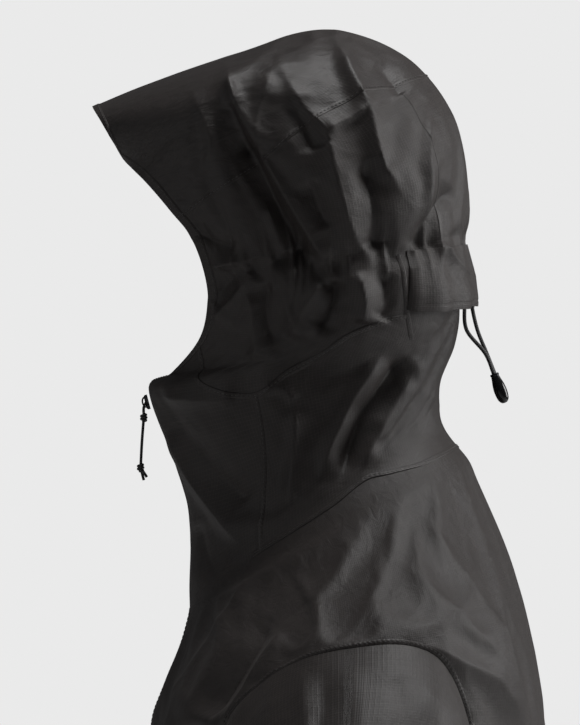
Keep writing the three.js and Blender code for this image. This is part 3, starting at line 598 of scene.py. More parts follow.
SHELL = fabric("shell_cloth", (0.025, 0.0205, 0.0191))
BRIM_CLOTH = fabric("brim_cloth", (0.0238, 0.0196, 0.0184), roughness=0.5, bump=0.25)
LINING = fabric("backing_cloth", (0.016, 0.0145, 0.014), roughness=0.8, rib=3.0, sheen=0.1)
SEAM_CLOTH = fabric("seam_cloth", (0.0245, 0.0201, 0.0188), bump=0.12)
THREAD = plain("thread", (0.075, 0.07, 0.068), 0.7, bump=0.2, scale=900)
CORD = braid("cord", (0.007, 0.007, 0.0075))
FILM = plain("zip_film", (0.012, 0.011, 0.011), 0.5, bump=0.15)
PLASTIC = plain("moulded_plastic", (0.010, 0.010, 0.011), 0.36, bump=0.06, scale=2500)
GLOSS = plain("glossy_plastic", (0.006, 0.006, 0.0065), 0.16, bump=0.02, scale=300)
TAPE_FILM = plain("seam_tape", (0.035, 0.034, 0.034), 0.42, bump=0.1, scale=1500)
METAL = plain("blackened_metal", (0.028, 0.028, 0.03), 0.34, bump=0.05, scale=1800, metallic=0.9)
INNER_CLOTH = fabric("inner_cloth", (0.016, 0.0145, 0.014), roughness=0.8, rib=3.0, sheen=0.1, mapped=False)
FLAP_CLOTH = fabric("flap_cloth", (0.025, 0.0205, 0.0191), mapped=False)
DRAWCORD = plain("drawcord", (0.007, 0.007, 0.0075), 0.7, bump=0.4, scale=900, sheen=0.4)
WEBBING = plain("webbing", (0.02, 0.019, 0.019), 0.85, bump=0.4, scale=700, sheen=0.3)


# ------------------------------------------------------------------ hood and collar panels
def clustered(count, near=(0.0035, 0.009, 0.018)):
    """Even steps from 0 to 1 with extra ones close to both ends, where the seams are."""
    inner = np.linspace(0, 1, count + 1)
    near = np.array(near)
    return np.unique(np.round(np.concatenate([inner, near, 1 - near]), 6))


def patch_uv(cols, rows):
    v, u = np.meshgrid(clustered(rows), clustered(cols), indexing="ij")
    return u, v


def const(value):
    return lambda x: np.full_like(np.asarray(x, float), value)


BACK_SPLIT = 0.2
NECK_T = 727


def hood_panels():
    pieces = {}
    u, v = patch_uv(190, 78)
    t, s = solve_patch(u, v, lambda t: -chin_seam(t), chin_seam, neckline, side_seam)
    pieces["neck_panel"] = cloth_panel("neck_shell", "hood", t, s, SHELL)
    for side, sign in SIDES:
        u, v = patch_uv(60, 84)
        t, s = solve_patch(u, v, chin_seam, lambda t: share_at_x(t, COIL_HALF), neckline, side_seam)
        pieces[f"chin_panel_{side}"] = cloth_panel(f"chin_shell_{side}", "hood", t, sign * s, SHELL)
        u, v = patch_uv(136, 120)
        t, s = solve_patch(u, v, const(BACK_SPLIT), const(1.0), side_seam, top_seam)
        pieces[f"hood_side_panel_{side}"] = cloth_panel(f"hood_side_shell_{side}", "hood", t, sign * s, SHELL)
    u, v = patch_uv(72, 120)
    t, s = solve_patch(u, v, const(-BACK_SPLIT), const(BACK_SPLIT), side_seam, top_seam)
    pieces["hood_back_panel"] = cloth_panel("hood_back_shell", "hood", t, s, SHELL)
    u, v = patch_uv(270, 130)
    t, s = solve_patch(u, v, const(-1.0), const(1.0), top_seam, const(BRIM_T))
    pieces["hood_top_panel"] = cloth_panel("hood_top_shell", "hood", t, s, BRIM_CLOTH)
    for node, obj in pieces.items():
        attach(obj, "jacket")
        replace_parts(obj, node)
    return pieces


# ------------------------------------------------------------------ seams
def along_surface(t, s, across_mm, direction):
    """Moves (t, s) points by across_mm at right angles to the path's direction on the surface."""
    dt = garment(t + 0.5, s) - garment(t - 0.5, s)
    ds = (garment(t, s + 0.001) - garment(t, s - 0.001)) / 0.002
    normal = unit(np.cross(dt, ds))
    across = np.cross(normal, direction)
    want = across * across_mm
    # Least squares of want = a dt + b ds.
    tt, ss, ts = (dt * dt).sum(-1), (ds * ds).sum(-1), (dt * ds).sum(-1)
    wt, ws = (want * dt).sum(-1), (want * ds).sum(-1)
    det = tt * ss - ts * ts
    return t + (wt * ss - ws * ts) / det, s + (ws * tt - wt * ts) / det


def resample(t, s, pitch):
    """Even steps of pitch mm along a path given as (t, s) points."""
    points = garment(t, s)
    run = np.concatenate([[0], np.cumsum(np.linalg.norm(np.diff(points, axis=0), axis=1))])
    count = max(int(run[-1] / pitch), 8)
    q = np.linspace(0, run[-1], count)
    return np.interp(q, run, t), np.interp(q, run, s), q


LAP = ((-3.6, 0.0), (-3.2, 0.30), (-2.4, 0.42), (-1.5, 0.40), (-0.8, 0.52), (-0.25, 0.50), (0.0, -0.15))
STITCH_PITCH = 3.0


FLAT = tuple((offset, 0.45 * lift) for offset, lift in LAP)


def seam(name, region, t, s, pucker=0.0, flip=False, pitch=0.75, profile=LAP, stitches=True,
         material=None, thick=0.7, body="jacket"):
    """A lapped seam: a folded ply with a rounded free edge, crossed by stitch puckers."""
    t, s, q = resample(np.asarray(t, float), np.asarray(s, float), pitch)
    points = garment(t, s)
    direction = unit(np.gradient(points, axis=0))
    rows_t, rows_s, rise = [], [], []
    way = -1 if flip else 1
    dimple = np.sin(2 * np.pi * q / STITCH_PITCH)
    for offset, lift in profile:
        moved_t, moved_s = along_surface(t, s, way * offset, direction)
        rows_t.append(moved_t)
        rows_s.append(moved_s)
        reach = np.exp(-(((offset + 1.9) / 1.3) ** 2))
        rise.append(lift + pucker * reach * dimple)
    t2, s2 = np.array(rows_t), np.array(rows_s)
    limit = np.sign(s2) * np.minimum(np.abs(s2), 1.0)
    outer, normal = draped(region, t2, limit, np.array(rise))
    uv = np.stack([np.broadcast_to(q, t2.shape), np.array([p[0] for p in profile])[:, None] + t2 * 0], -1)
    obj = grid_mesh(name, outer, outer - normal * thick, material or SEAM_CLOTH, uv)
    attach(obj, body)
    if stitches:
        stitch_row(name + "_stitches", region, t, s, q, direction, way * -1.9)
    return obj


def stitch_row(name, region, t, s, q, direction, offset):
    """Stitches along a path on the garment."""
    moved_t, moved_s = along_surface(t, s, offset, direction)
    return stitch_bars(name, *draped(region, moved_t, moved_s, np.full_like(moved_t, 0.46)), q)


def stitch_bars(name, centre, normal, q):
    """Thread: one small rounded bar per stitch, all in one mesh."""
    run = unit(np.gradient(centre, axis=0))
    count = int(q[-1] / STITCH_PITCH)
    vertices, faces = [], []
    ring = [(math.cos(a), math.sin(a)) for a in np.linspace(0, 2 * math.pi, 7)[:-1]]
    for k in range(count):
        i = min(int(np.searchsorted(q, (k + 0.5) * STITCH_PITCH)), len(q) - 1)
        side = np.cross(run[i], normal[i])
        first = len(vertices)
        for along, radius, sink in ((-1.15, 0.05, -0.25), (-0.8, 0.2, 0.0),
                                    (0.8, 0.2, 0.0), (1.15, 0.05, -0.25)):
            for cx, cy in ring:
                across = side * radius * cx + normal[i] * (radius * cy + sink)
                vertices.append(centre[i] + run[i] * along + across)
        n = len(ring)
        for a in range(3):
            for b in range(n):
                c = (b + 1) % n
                faces.append((first + a * n + b, first + a * n + c,
                              first + (a + 1) * n + c, first + (a + 1) * n + b))
        faces.append(tuple(first + b for b in reversed(range(n))))
        faces.append(tuple(first + 3 * n + b for b in range(n)))
    obj = new_object(name, to_frame(vertices), faces, THREAD)
    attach(obj, "jacket")
    return obj


def hood_seams():
    span = np.linspace(-1, 1, 400)
    seam("top_seam", "hood", top_seam(span), span, pucker=0.05, profile=FLAT)
    for side, sign in SIDES:
        s = np.linspace(0.3, 0.99, 200)
        seam(f"side_seam_{side}", "hood", side_seam(s), sign * s, pucker=0.16, flip=sign > 0)
        t = np.linspace(NECK_T + 1, 802, 160)
        seam(f"chin_seam_{side}", "hood", t, sign * chin_seam(t), pucker=0.2, flip=sign < 0)
        t = np.linspace(908, 1012, 60)
        seam(f"hood_back_seam_{side}", "hood", t, np.full_like(t, sign * BACK_SPLIT), pucker=0.03,
             flip=sign < 0, profile=FLAT, stitches=False)
        t = np.linspace(824, 904, 90)
        seam(f"casing_edge_{side}", "hood", t, sign * through(CASING_EDGE, t), pucker=0.02, flip=sign > 0)
    span = np.linspace(-0.66, 0.66, 400)
    seam("neckline_seam", "hood", neckline(span), span, pucker=0.12)


# ------------------------------------------------------------------ hems, seam tapes, flap
TAPE = tuple((offset, -1.16) for offset in (-6.5, -4, -1.5, 1.5, 4, 6.5))


def tape(name, region, t, s):
    """Welded tape over a seam, on the inside of the cloth."""
    return seam(name, region, t, s, pitch=2.0, profile=TAPE, stitches=False, material=TAPE_FILM, thick=0.3)


def share_inside(t, edge, distance):
    """The share s that lies a distance in mm inside the front edge of the ring at t."""
    reach = np.linspace(0, 0.16, 120)
    found = np.empty((len(distance), len(t)))
    for k, (height, rim) in enumerate(zip(t, edge)):
        points = garment(height, rim - reach)
        run = np.concatenate([[0], np.cumsum(np.linalg.norm(np.diff(points, axis=0), axis=1))])
        found[:, k] = rim - np.interp(distance, run, reach)
    return found


HEM_INSET = (6.6, 6.3, 4.6, 2.4, 0.8, 0.1)  # mm in from the edge
HEM_RISE = (-0.1, 0.26, 0.36, 0.36, 0.32, 0.1)  # mm above the cloth at each of those


def edge_hem(name, region, t, edge, sign):
    """A turned hem along a front edge, with its stitches."""
    offsets = np.array(HEM_INSET)
    lifts = np.array(HEM_RISE)
    points = garment(t, edge)
    q = np.concatenate([[0], np.cumsum(np.linalg.norm(np.diff(points, axis=0), axis=1))])
    dimple = 0.08 * np.sin(2 * np.pi * q / STITCH_PITCH)
    s = share_inside(t, edge, offsets) * sign
    rows = np.broadcast_to(t, s.shape)
    rise = lifts[:, None] + dimple * np.exp(-(((offsets[:, None] - 5.0) / 1.3) ** 2))
    outer, normal = draped(region, rows, s, rise)
    uv = np.stack([np.broadcast_to(q, s.shape), offsets[:, None] + 0 * s], -1)
    obj = grid_mesh(name, outer, outer - normal * 0.7, SEAM_CLOTH, uv)
    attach(obj, "jacket")
    line = share_inside(t, edge, np.array([5.0]))[0] * sign
    stitch_bars(name + "_stitches", *draped(region, t, line, np.full_like(t, 0.46)), q)


def hood_edge():
    """Turned hems with a row of stitches: round the face opening, along the brim and up the front."""
    for side, sign in SIDES:
        t = np.linspace(816, 1238, 620)
        edge_hem(f"face_hem_{side}", "hood", t, np.ones_like(t), sign)
        t = np.linspace(20, 706, 900)
        edge_hem(f"front_hem_{side}", "body", t, share_at_x(t, COIL_HALF), sign)
    brim_hem()


def brim_hem():
    """The brim's turned front edge, with its stitches."""
    s = np.linspace(-0.97, 0.97, 400)
    points = garment(BRIM_T, s)
    q = np.concatenate([[0], np.cumsum(np.linalg.norm(np.diff(points, axis=0), axis=1))])
    offsets = np.array(HEM_INSET)[:, None] + 0 * s
    dimple = 0.06 * np.sin(2 * np.pi * q / STITCH_PITCH) * np.exp(-(((offsets - 5.0) / 1.3) ** 2))
    rise = np.array(HEM_RISE)[:, None] + dimple
    outer, normal = draped("hood", BRIM_T - offsets, np.broadcast_to(s, offsets.shape), rise)
    uv = np.stack([np.broadcast_to(q, offsets.shape), offsets], -1)
    obj = grid_mesh("brim_hem", outer, outer - normal * 0.7, SEAM_CLOTH, uv)
    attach(obj, "jacket")
    row = draped("hood", np.full_like(s, BRIM_T - 5.0), s, np.full_like(s, 0.46))
    stitch_bars("brim_hem_stitches", *row, q)


def seam_tapes():
    span = np.linspace(-0.97, 0.97, 260)
    tape("top_seam_tape", "hood", top_seam(span), span)
    for side, sign in SIDES:
        s = np.linspace(0.02, 0.97, 160)
        tape(f"side_seam_tape_{side}", "hood", side_seam(s), sign * s)
        t = np.linspace(NECK_T + 4, 800, 60)
        tape(f"chin_seam_tape_{side}", "hood", t, sign * chin_seam(t))


FLAP_SHARE = 0.3
FLAP_LOW = 858.0
FLAP_HIGH = 906.0
FLAP_STAND = 9.5


def rear_flap():
    v, u = np.meshgrid(clustered(40), clustered(120), indexing="ij")
    s = (2 * u - 1) * FLAP_SHARE
    t = lerp(FLAP_LOW, FLAP_HIGH, v)
    round_off = np.cos(np.abs(2 * u - 1) ** 2.4 * np.pi / 2) ** 0.6
    side_edge = smooth(1.0, 0.93, np.abs(2 * u - 1))
    stand = 0.75 + 0.5 * side_edge + FLAP_STAND * smooth(1.0, 0.0, v) * round_off
    ripple = 1.1 * np.sin(s * 62 + 0.7) * smooth(1.0, 0.3, v) * round_off
    base = garment(t, s)
    normal = garment_normal(t, s)
    free = round_off * (1 - smooth(0.25, 1.0, v))
    height = hood_relief(t, s, base) * (1 - free) + stand + ripple
    outer = base + normal * height[..., None] + settle("hood", t, s)
    outer[..., 2] -= 1.5 * smooth(0.3, 0.0, v) * round_off
    hem = np.exp(-(((v - 0.13) / 0.012) ** 2)) * -0.35
    outer = outer + normal * hem[..., None]
    uv = np.stack([s * 260, t], -1)
    obj = grid_mesh("adjuster_flap_shell", outer, outer - normal * 0.9, SHELL, uv)
    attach(obj, "jacket")
    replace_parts(obj, "hood_adjuster_flap")
    return obj


# ------------------------------------------------------------------ body panels
ARMHOLE_T = 487.5
ARMHOLE_RISE = 103.5
ARMHOLE_REACH = 0.2
ARMHOLE_POWER = 2.5


def armhole_reach(t):
    up = np.minimum(np.abs(t - ARMHOLE_T) / ARMHOLE_RISE, 1)
    return ARMHOLE_REACH * (1 - up ** ARMHOLE_POWER) ** (1 / ARMHOLE_POWER)


def body_patch(columns, near, far):
    """Rows from the hem to the neckline, close together at both ends of the armhole."""
    below = np.linspace(HEM_T, ARMHOLE_T - ARMHOLE_RISE, 90)[:-1]
    beside = ARMHOLE_T - ARMHOLE_RISE * np.cos(np.linspace(0, np.pi, 110))
    above = clustered(64)[1:]
    u = clustered(columns)
    top = beside[-1]
    start = np.concatenate([below, beside, np.full(len(above), top)])[:, None]
    climb = np.concatenate([np.zeros(len(below) + len(beside)), above])[:, None]
    t = start + 0 * u
    for _ in range(5):
        s = lerp(near(t), far(t), u)
        t = start + climb * (neckline(s) - top)
    return t, s


def body_panels():
    for side, sign in SIDES:
        t, s = body_patch(96, lambda t: 0.5 + armhole_reach(t), lambda t: share_at_x(t, COIL_HALF))
        obj = cloth_panel(f"front_shell_{side}", "body", t, sign * s, SHELL)
        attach(obj, "jacket")
        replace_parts(obj, f"front_panel_{side}")
    t, s = body_patch(180, lambda t: armhole_reach(t) - 0.5, lambda t: 0.5 - armhole_reach(t))
    obj = cloth_panel("back_shell", "body", t, s, SHELL)
    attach(obj, "jacket")
    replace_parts(obj, "back_panel")


# ------------------------------------------------------------------ sleeves
SHOULDER = np.array([195.0, 8.0, 545.0])
UPPER_ARM = np.array([math.sin(0.46), 0.0, -math.cos(0.46)])
FOREARM = unit(np.array([0.2, -0.3, -0.933]))
CAP_D = 150.0
UPPER_D = 262.0
ELBOW_D = 300.0
LOWER_D = 350.0
CUFF_D = 545.0
BEND = 52.0
SLEEVE_RADII = [(0, 76), (150, 70), (300, 63), (420, 55), (545, 46)]
SLEEVE_FOLDS = [
    ("sleeve_hollow", -6.0, 9, [(-41, 575), (-54, 557), (-61, 533)]),
    ("sleeve_pleat_1", 2.6, 8, [(-19, 580), (-17, 556), (-15, 533), (-14, 500)]),
    ("sleeve_dip", -2.4, 8, [(-5, 581), (-5, 556), (-8, 533), (-9, 498)]),
    ("sleeve_pleat_2", 2.2, 8, [(13, 579), (15, 556), (17, 533), (20, 495)]),
    ("sleeve_back_soft", 2.2, 11, [(58, 566), (66, 545), (72, 520), (74, 480)]),
    ("sleeve_back_dip", -2.4, 10, [(40, 572), (44, 550), (47, 520)]),
]


def arm_centre(d):
    d = np.asarray(d, float)[..., None]
    elbow = SHOULDER + UPPER_ARM * ELBOW_D
    past = d - ELBOW_D
    u = np.clip((past + BEND) / (2 * BEND), 0, 1)
    start = elbow - UPPER_ARM * BEND
    end = elbow + FOREARM * BEND
    bent = start * (1 - u) ** 2 + elbow * 2 * u * (1 - u) + end * u * u
    upper = SHOULDER + UPPER_ARM * d
    lower = elbow + FOREARM * past
    return np.where(past < -BEND, upper, np.where(past > BEND, lower, bent))


def arm_frame(d):
    along = unit(arm_centre(np.asarray(d) + 1) - arm_centre(np.asarray(d) - 1))
    outer = unit(np.array([1.0, 0, 0]) - along * along[..., :1])
    back = -np.cross(along, outer)
    back = np.where(back[..., 1:2] < 0, -back, back)
    return outer, back


def sleeve_point(d, a):
    outer, back = arm_frame(d)
    radius = through(SLEEVE_RADII, d)[..., None]
    return arm_centre(d) + radius * (outer * np.cos(a)[..., None] + back * np.sin(a)[..., None])


def armhole_ring(a):
    def squared(v):
        return np.sign(v) * np.abs(v) ** (2 / ARMHOLE_POWER)

    return ARMHOLE_T + ARMHOLE_RISE * squared(np.cos(a)), 0.5 - ARMHOLE_REACH * squared(np.sin(a))


def cap_point(v, a):
    """The sleeve cap from the armhole (v 0) to the top of the straight upper sleeve (v 1)."""
    start = draped("body", *armhole_ring(a))[0]
    end = sleeve_point(np.full_like(a, CAP_D), a)
    reach = np.linalg.norm(end - start, axis=-1, keepdims=True)
    leave = unit(np.stack([0.62 + 0.25 * np.cos(a), 0.3 * np.sin(a), np.full_like(a, -0.72)], -1))
    v = v[..., None]
    return (start * (2 * v ** 3 - 3 * v * v + 1) + leave * reach * (v ** 3 - 2 * v * v + v)
            + end * (3 * v * v - 2 * v ** 3) + UPPER_ARM * reach * (v ** 3 - v * v))


def sleeve_relief(d, a, points, seed):
    """Folds of the sleeve: hanging pleats below the cap, squeezed rings at the elbow, a turned cuff."""
    q = a * 62
    facing = smooth(0.15, 0.6, np.cos(a))
    height = 0.8 * fold_height(points[..., 1:], SLEEVE_FOLDS) * facing * smooth(0, 34, d)
    loose = waves(q, d, seed, 95, 0.9) * 2.2 + waves(q, d, seed + 1, 38, 0.8) * 0.9
    loose = loose + waves(q, d, seed + 2, 17, 0.7) * 0.22
    height = height + loose * smooth(0, 60, d) * smooth(CUFF_D, CUFF_D - 50, d)
    inner = 0.35 + 0.65 * smooth(0.3, -0.9, np.sin(a))
    ring = np.sin(2 * np.pi * d / 31 + 1.7 * np.sin(2 * a + seed) + 0.8 * np.sin(3 * a))
    height = height + 3.0 * ring * inner * np.exp(-(((d - ELBOW_D) / 52) ** 2))
    lower = np.sin(2 * np.pi * d / 44 + 2.2 * np.sin(a + seed))
    height = height + 1.7 * lower * smooth(360, 400, d) * smooth(CUFF_D - 22, CUFF_D - 70, d)
    hem = 0.7 * smooth(CUFF_D - 26.5, CUFF_D - 25, d) - 0.9 * np.exp(-(((d - CUFF_D + 24.2) / 0.8) ** 2))
    seam_line = -0.9 * np.exp(-((np.minimum(np.abs(a - np.pi), 9) * 62 / 1.0) ** 2)) * smooth(10, 40, d)
    return height + hem + seam_line


def tube_normals(points, centre):
    around = np.roll(points, -1, 1) - np.roll(points, 1, 1)
    along = np.gradient(points, axis=0)
    normal = unit(np.cross(along, around))
    flip = np.sign((normal * (points - centre)).sum(-1).mean())
    return normal * flip


def sleeve_piece(name, low, high, rows, sign, columns=220):
    """A closed tube of cloth between two distances down the arm."""
    a = np.linspace(0, 2 * np.pi, columns + 1)[:-1]
    if low < 0:
        straight = np.linspace(CAP_D, high, max(int(rows * (high - CAP_D) / (high + 20)), 6))[1:]
        d = np.concatenate([clustered(rows - len(straight), near=(0.006, 0.014, 0.026)) * CAP_D, straight])
    else:
        d = np.linspace(low, high, rows)
    d, a = np.meshgrid(d, a, indexing="ij")
    base = sleeve_point(np.maximum(d, CAP_D) if low < 0 else d, a)
    if low < 0:
        base = np.where((d < CAP_D)[..., None], cap_point(np.minimum(d / CAP_D, 1), a), base)
    normal = tube_normals(base, arm_centre(d))
    height = sleeve_relief(d, a, base, 21 if sign > 0 else 47)
    outer = base + normal * height[..., None]
    inner = outer - normal * THICK
    mirror = np.array([sign, 1, 1])
    uv = np.stack([a * 62, d], -1)
    obj = grid_mesh(name, outer * mirror, inner * mirror, SHELL, uv, wrap=True)
    return obj


def sleeves():
    for side, sign in SIDES:
        mirror = np.array([sign, 1, 1])

        def at(point):
            return tuple(to_frame(point * mirror))

        top = sleeve_piece(f"upper_sleeve_shell_{side}", -1, UPPER_D, 150, sign)
        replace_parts(top, f"sleeve_cap_{side}", f"upper_sleeve_{side}")
        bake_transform(top)
        bend = sleeve_piece(f"elbow_shell_{side}", UPPER_D, LOWER_D, 60, sign)
        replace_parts(bend, f"elbow_panel_{side}")
        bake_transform(bend)
        lower = sleeve_piece(f"forearm_shell_{side}", LOWER_D, CUFF_D, 120, sign)
        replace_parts(lower, f"forearm_sleeve_{side}")
        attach(lower, f"sleeve_lower_{side}")


def body_seams():
    a = np.linspace(0, 2 * np.pi, 700)
    for side, sign in SIDES:
        t, s = armhole_ring(a)
        seam(f"armhole_seam_{side}", "body", t, sign * s, pucker=0.25, flip=sign > 0, profile=FLAT)


# ------------------------------------------------------------------ cords and turned parts
def spline(points, steps):
    """A smooth curve through the points, evenly spaced by count."""
    points = np.array(points, float)
    at = np.linspace(0, len(points) - 1, steps)
    keys = np.arange(len(points))
    return np.stack([through(np.stack([keys, points[:, k]], 1), at) for k in range(3)], 1)


def tube(name, path, radius, material, body, sides=14):
    """A round cord along a path in garment mm, with flat ends. The radius may vary along it."""
    path = np.asarray(path, float)
    radius = np.broadcast_to(radius, len(path))
    run = unit(np.gradient(path, axis=0))
    side = unit(np.cross(run[0], [0.3, 0.2, 1.0]))
    rings = []
    for point, way, r in zip(path, run, radius):
        side = unit(side - way * (side @ way))
        other = np.cross(way, side)
        a = np.linspace(0, 2 * np.pi, sides + 1)[:-1]
        rings.append(point + r * (np.outer(np.cos(a), side) + np.outer(np.sin(a), other)))
    n = len(rings)
    faces = [(i * sides + k, i * sides + (k + 1) % sides,
              (i + 1) * sides + (k + 1) % sides, (i + 1) * sides + k)
             for i in range(n - 1) for k in range(sides)]
    faces.append(tuple(reversed(range(sides))))
    faces.append(tuple((n - 1) * sides + k for k in range(sides)))
    obj = new_object(name, to_frame(np.concatenate(rings)), faces, material)
    length = np.concatenate([[0], np.cumsum(np.linalg.norm(np.diff(path, axis=0), axis=1))])
    layer = obj.data.uv_layers.new(name="cloth")
    for loop in obj.data.loops:
        ring, k = divmod(loop.vertex_index, sides)
        layer.data[loop.index].uv = (length[ring], k / sides * 8)
    if body:
        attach(obj, body)
    return obj


def turned(name, profile, material, body, place, tilt=0.0, sides=28):
    """A part turned about its own Z from (radius, height) pairs, tipped about X and put in place."""
    heights = np.array(profile, float)
    keys = np.arange(len(heights))
    at = np.linspace(0, len(heights) - 1, 6 * len(heights))
    fine = np.stack([through(np.stack([keys, heights[:, k]], 1), at) for k in (0, 1)], 1)
    fine[:, 0] = np.maximum(fine[:, 0], 0.02)
    vertices, faces = [], []
    c, s = math.cos(tilt), math.sin(tilt)
    for r, h in fine:
        for k in range(sides):
            a = 2 * math.pi * k / sides
            x, y, z = r * math.cos(a), r * math.sin(a), h
            vertices.append(np.array(place) + np.array([x, y * c - z * s, y * s + z * c]))
    n = len(fine)
    for i in range(n - 1):
        for k in range(sides):
            j = (k + 1) % sides
            faces.append((i * sides + k, i * sides + j, (i + 1) * sides + j, (i + 1) * sides + k))
    faces.append(tuple(reversed(range(sides))))
    faces.append(tuple((n - 1) * sides + k for k in range(sides)))
    obj = new_object(name, to_frame(vertices), faces, material)
    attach(obj, body)
    return obj


def merge(name, objects):
    """Joins several pieces of one body into one."""
    bpy.context.view_layer.update()
    bpy.ops.object.select_all(action="DESELECT")
    for obj in objects:
        obj.select_set(True)
    bpy.context.view_layer.objects.active = objects[0]
    bpy.ops.object.join()
    objects[0].name = name
    return objects[0]


def rear_cord():
    """Two strands leave the flap's hem, meet, and end in a moulded cord end."""
    left = spline([(5, 86, 806), (5, 86, 801), (4, 87.5, 786), (1.2, 99.5, 771), (1.0, 105.2, 757)], 60)
    right = spline([(-5, 91, 806), (-5, 91, 801), (-3, 94.5, 786), (-1.2, 100.5, 771), (-1.0, 106, 757)], 60)
    strands = [tube("strand_left", left, 1.25, CORD, None), tube("strand_right", right, 1.25, CORD, None)]
    tail = merge("hood_cord_strands", strands)
    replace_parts(tail, "hood_cord_tail")
    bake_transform(tail)
    end = turned("cord_end_cap", [(0, -17.8), (1.9, -17.3), (3.5, -15), (4.15, -10.5), (3.9, -6),
                                  (3.1, -2.2), (2.7, 0),
                                  (2.5, 0.4), (0, 0.5)], GLOSS, "hood_tail", (0, 105.8, 756.2), tilt=0.36)
    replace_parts(end, "hood_cord_end")
    collar = turned("cord_end_ring", [(1.6, 0.0), (2.6, 0.1), (2.9, 0.9), (2.6, 1.7), (1.6, 1.8)],
                    METAL, "hood_tail",
                    (0, 105.7, 756.6), tilt=0.36)
    return tail, end, collar


def halo_cord():
    """The drawcord in its casing, just under the gathered cloth."""
    s = np.linspace(-0.7, 0.7, 150)
    outside, normal = draped("hood", np.full_like(s, 905.0), s)
    obj = tube("halo_drawcord", outside - normal * 3.6, 1.25, CORD, "jacket", sides=10)
    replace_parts(obj, "hood_halo_cord")


# ------------------------------------------------------------------ zips
def front_frame(t):
    """Centre front at t, with the directions up the zip and out of the chest."""
    t = np.asarray(t, float)
    up = unit(garment(t + 1, 1.0) - garment(t - 1, 1.0))
    up[..., 0] = 0
    out = np.stack([0 * t, -up[..., 2], up[..., 1]], -1)
    place = garment(t, 1.0)
    place[..., 0] = 0
    return place, up, out


TOOTH_PITCH = 2.6


def zip_teeth():
    """Interlocked moulded teeth, one mesh for each side of the front zip."""
    along = np.arange(20.0, 806.0, 0.5)
    place = front_frame(along)[0]
    run = np.concatenate([[0], np.cumsum(np.linalg.norm(np.diff(place, axis=0), axis=1))])
    for side, sign in SIDES:
        at = np.interp(np.arange(0, run[-1], TOOTH_PITCH) + (0.25 - 0.25 * sign) * TOOTH_PITCH, run, along)
        vertices, faces = [], []
        for place, up, out in zip(*front_frame(at)):
            first = len(vertices)
            for depth, shrink in ((-0.9, 0.3), (-1.3, 0.0), (-2.9, 0.0), (-3.2, 0.3)):
                for x, z in ((-0.5, -0.55), (3.0, -0.75), (3.0, 0.75), (-0.5, 0.55)):
                    x = x - shrink * math.copysign(1, x - 1)
                    z = z - shrink * math.copysign(1, z)
                    vertices.append(place + up * z + out * depth + np.array([sign * x, 0, 0]))
            for level in range(3):
                for k in range(4):
                    a, b = first + level * 4 + k, first + level * 4 + (k + 1) % 4
                    faces.append((a, b, b + 4, a + 4) if sign > 0 else (b, a, a + 4, b + 4))
            ends = [tuple(first + k for k in (3, 2, 1, 0)), tuple(first + 12 + k for k in (0, 1, 2, 3))]
            faces.extend(ends if sign > 0 else [end[::-1] for end in ends])
        obj = new_object(f"zip_teeth_{side}", to_frame(vertices), faces, PLASTIC, smooth_faces=False)
        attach(obj, "jacket")
        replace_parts(obj, f"zip_coil_{side}")


WELDED_ZIP = ((-6, 0.0), (-5.8, 0.55), (-3.5, 0.7), (-0.9, 0.75), (-0.25, 0.2), (0.25, 0.2),
              (0.9, 0.75), (3.5, 0.7),
              (5.8, 0.55), (6, 0.0))


def side_zips():
    """Welded zips of the hand pockets and underarm vents, lying on the draped cloth."""
    for kind, low, high, share in (("pocket", 150, 320, 0.73), ("pit", 205, 345, 0.5)):
        for side, sign in SIDES:
            t = np.linspace(low, high, 120)
            obj = seam(f"{kind}_zip_strip_{side}", "body", t, np.full_like(t, sign * share),
                       profile=WELDED_ZIP,
                       stitches=False, material=FILM, thick=0.9)
            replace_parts(obj, f"{kind}_zip_{side}")


def inside_piece(name, node, region, t_range, s_range, depth, thick, sign):
    """A layer that follows the inside of the cloth."""
    t, s = np.meshgrid(np.linspace(*t_range, 50), np.linspace(*s_range, 40), indexing="ij")
    outer, normal = draped(region, t, sign * s, -depth)
    obj = grid_mesh(name, outer, outer - normal * thick, LINING, np.stack([s * 500, t], -1))
    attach(obj, "jacket")
    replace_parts(obj, node)


def inside_layers():
    for side, sign in SIDES:
        inside_piece(f"chin_guard_lining_{side}", f"chin_guard_{side}", "hood", (744, 802),
                     (0.8, 0.9), 1.8, 1.2, sign)
        inside_piece(f"pocket_bag_cloth_{side}", f"pocket_bag_{side}", "body", (130, 330),
                     (0.74, 0.9), 1.8, 0.9, sign)


SLIDER_T = 805.0
SLIDER_PROUD = 6.1
PULL_R = 0.9


PULL_SET_BACK = 3.0  # the cord runs through a bail that sits close to the teeth


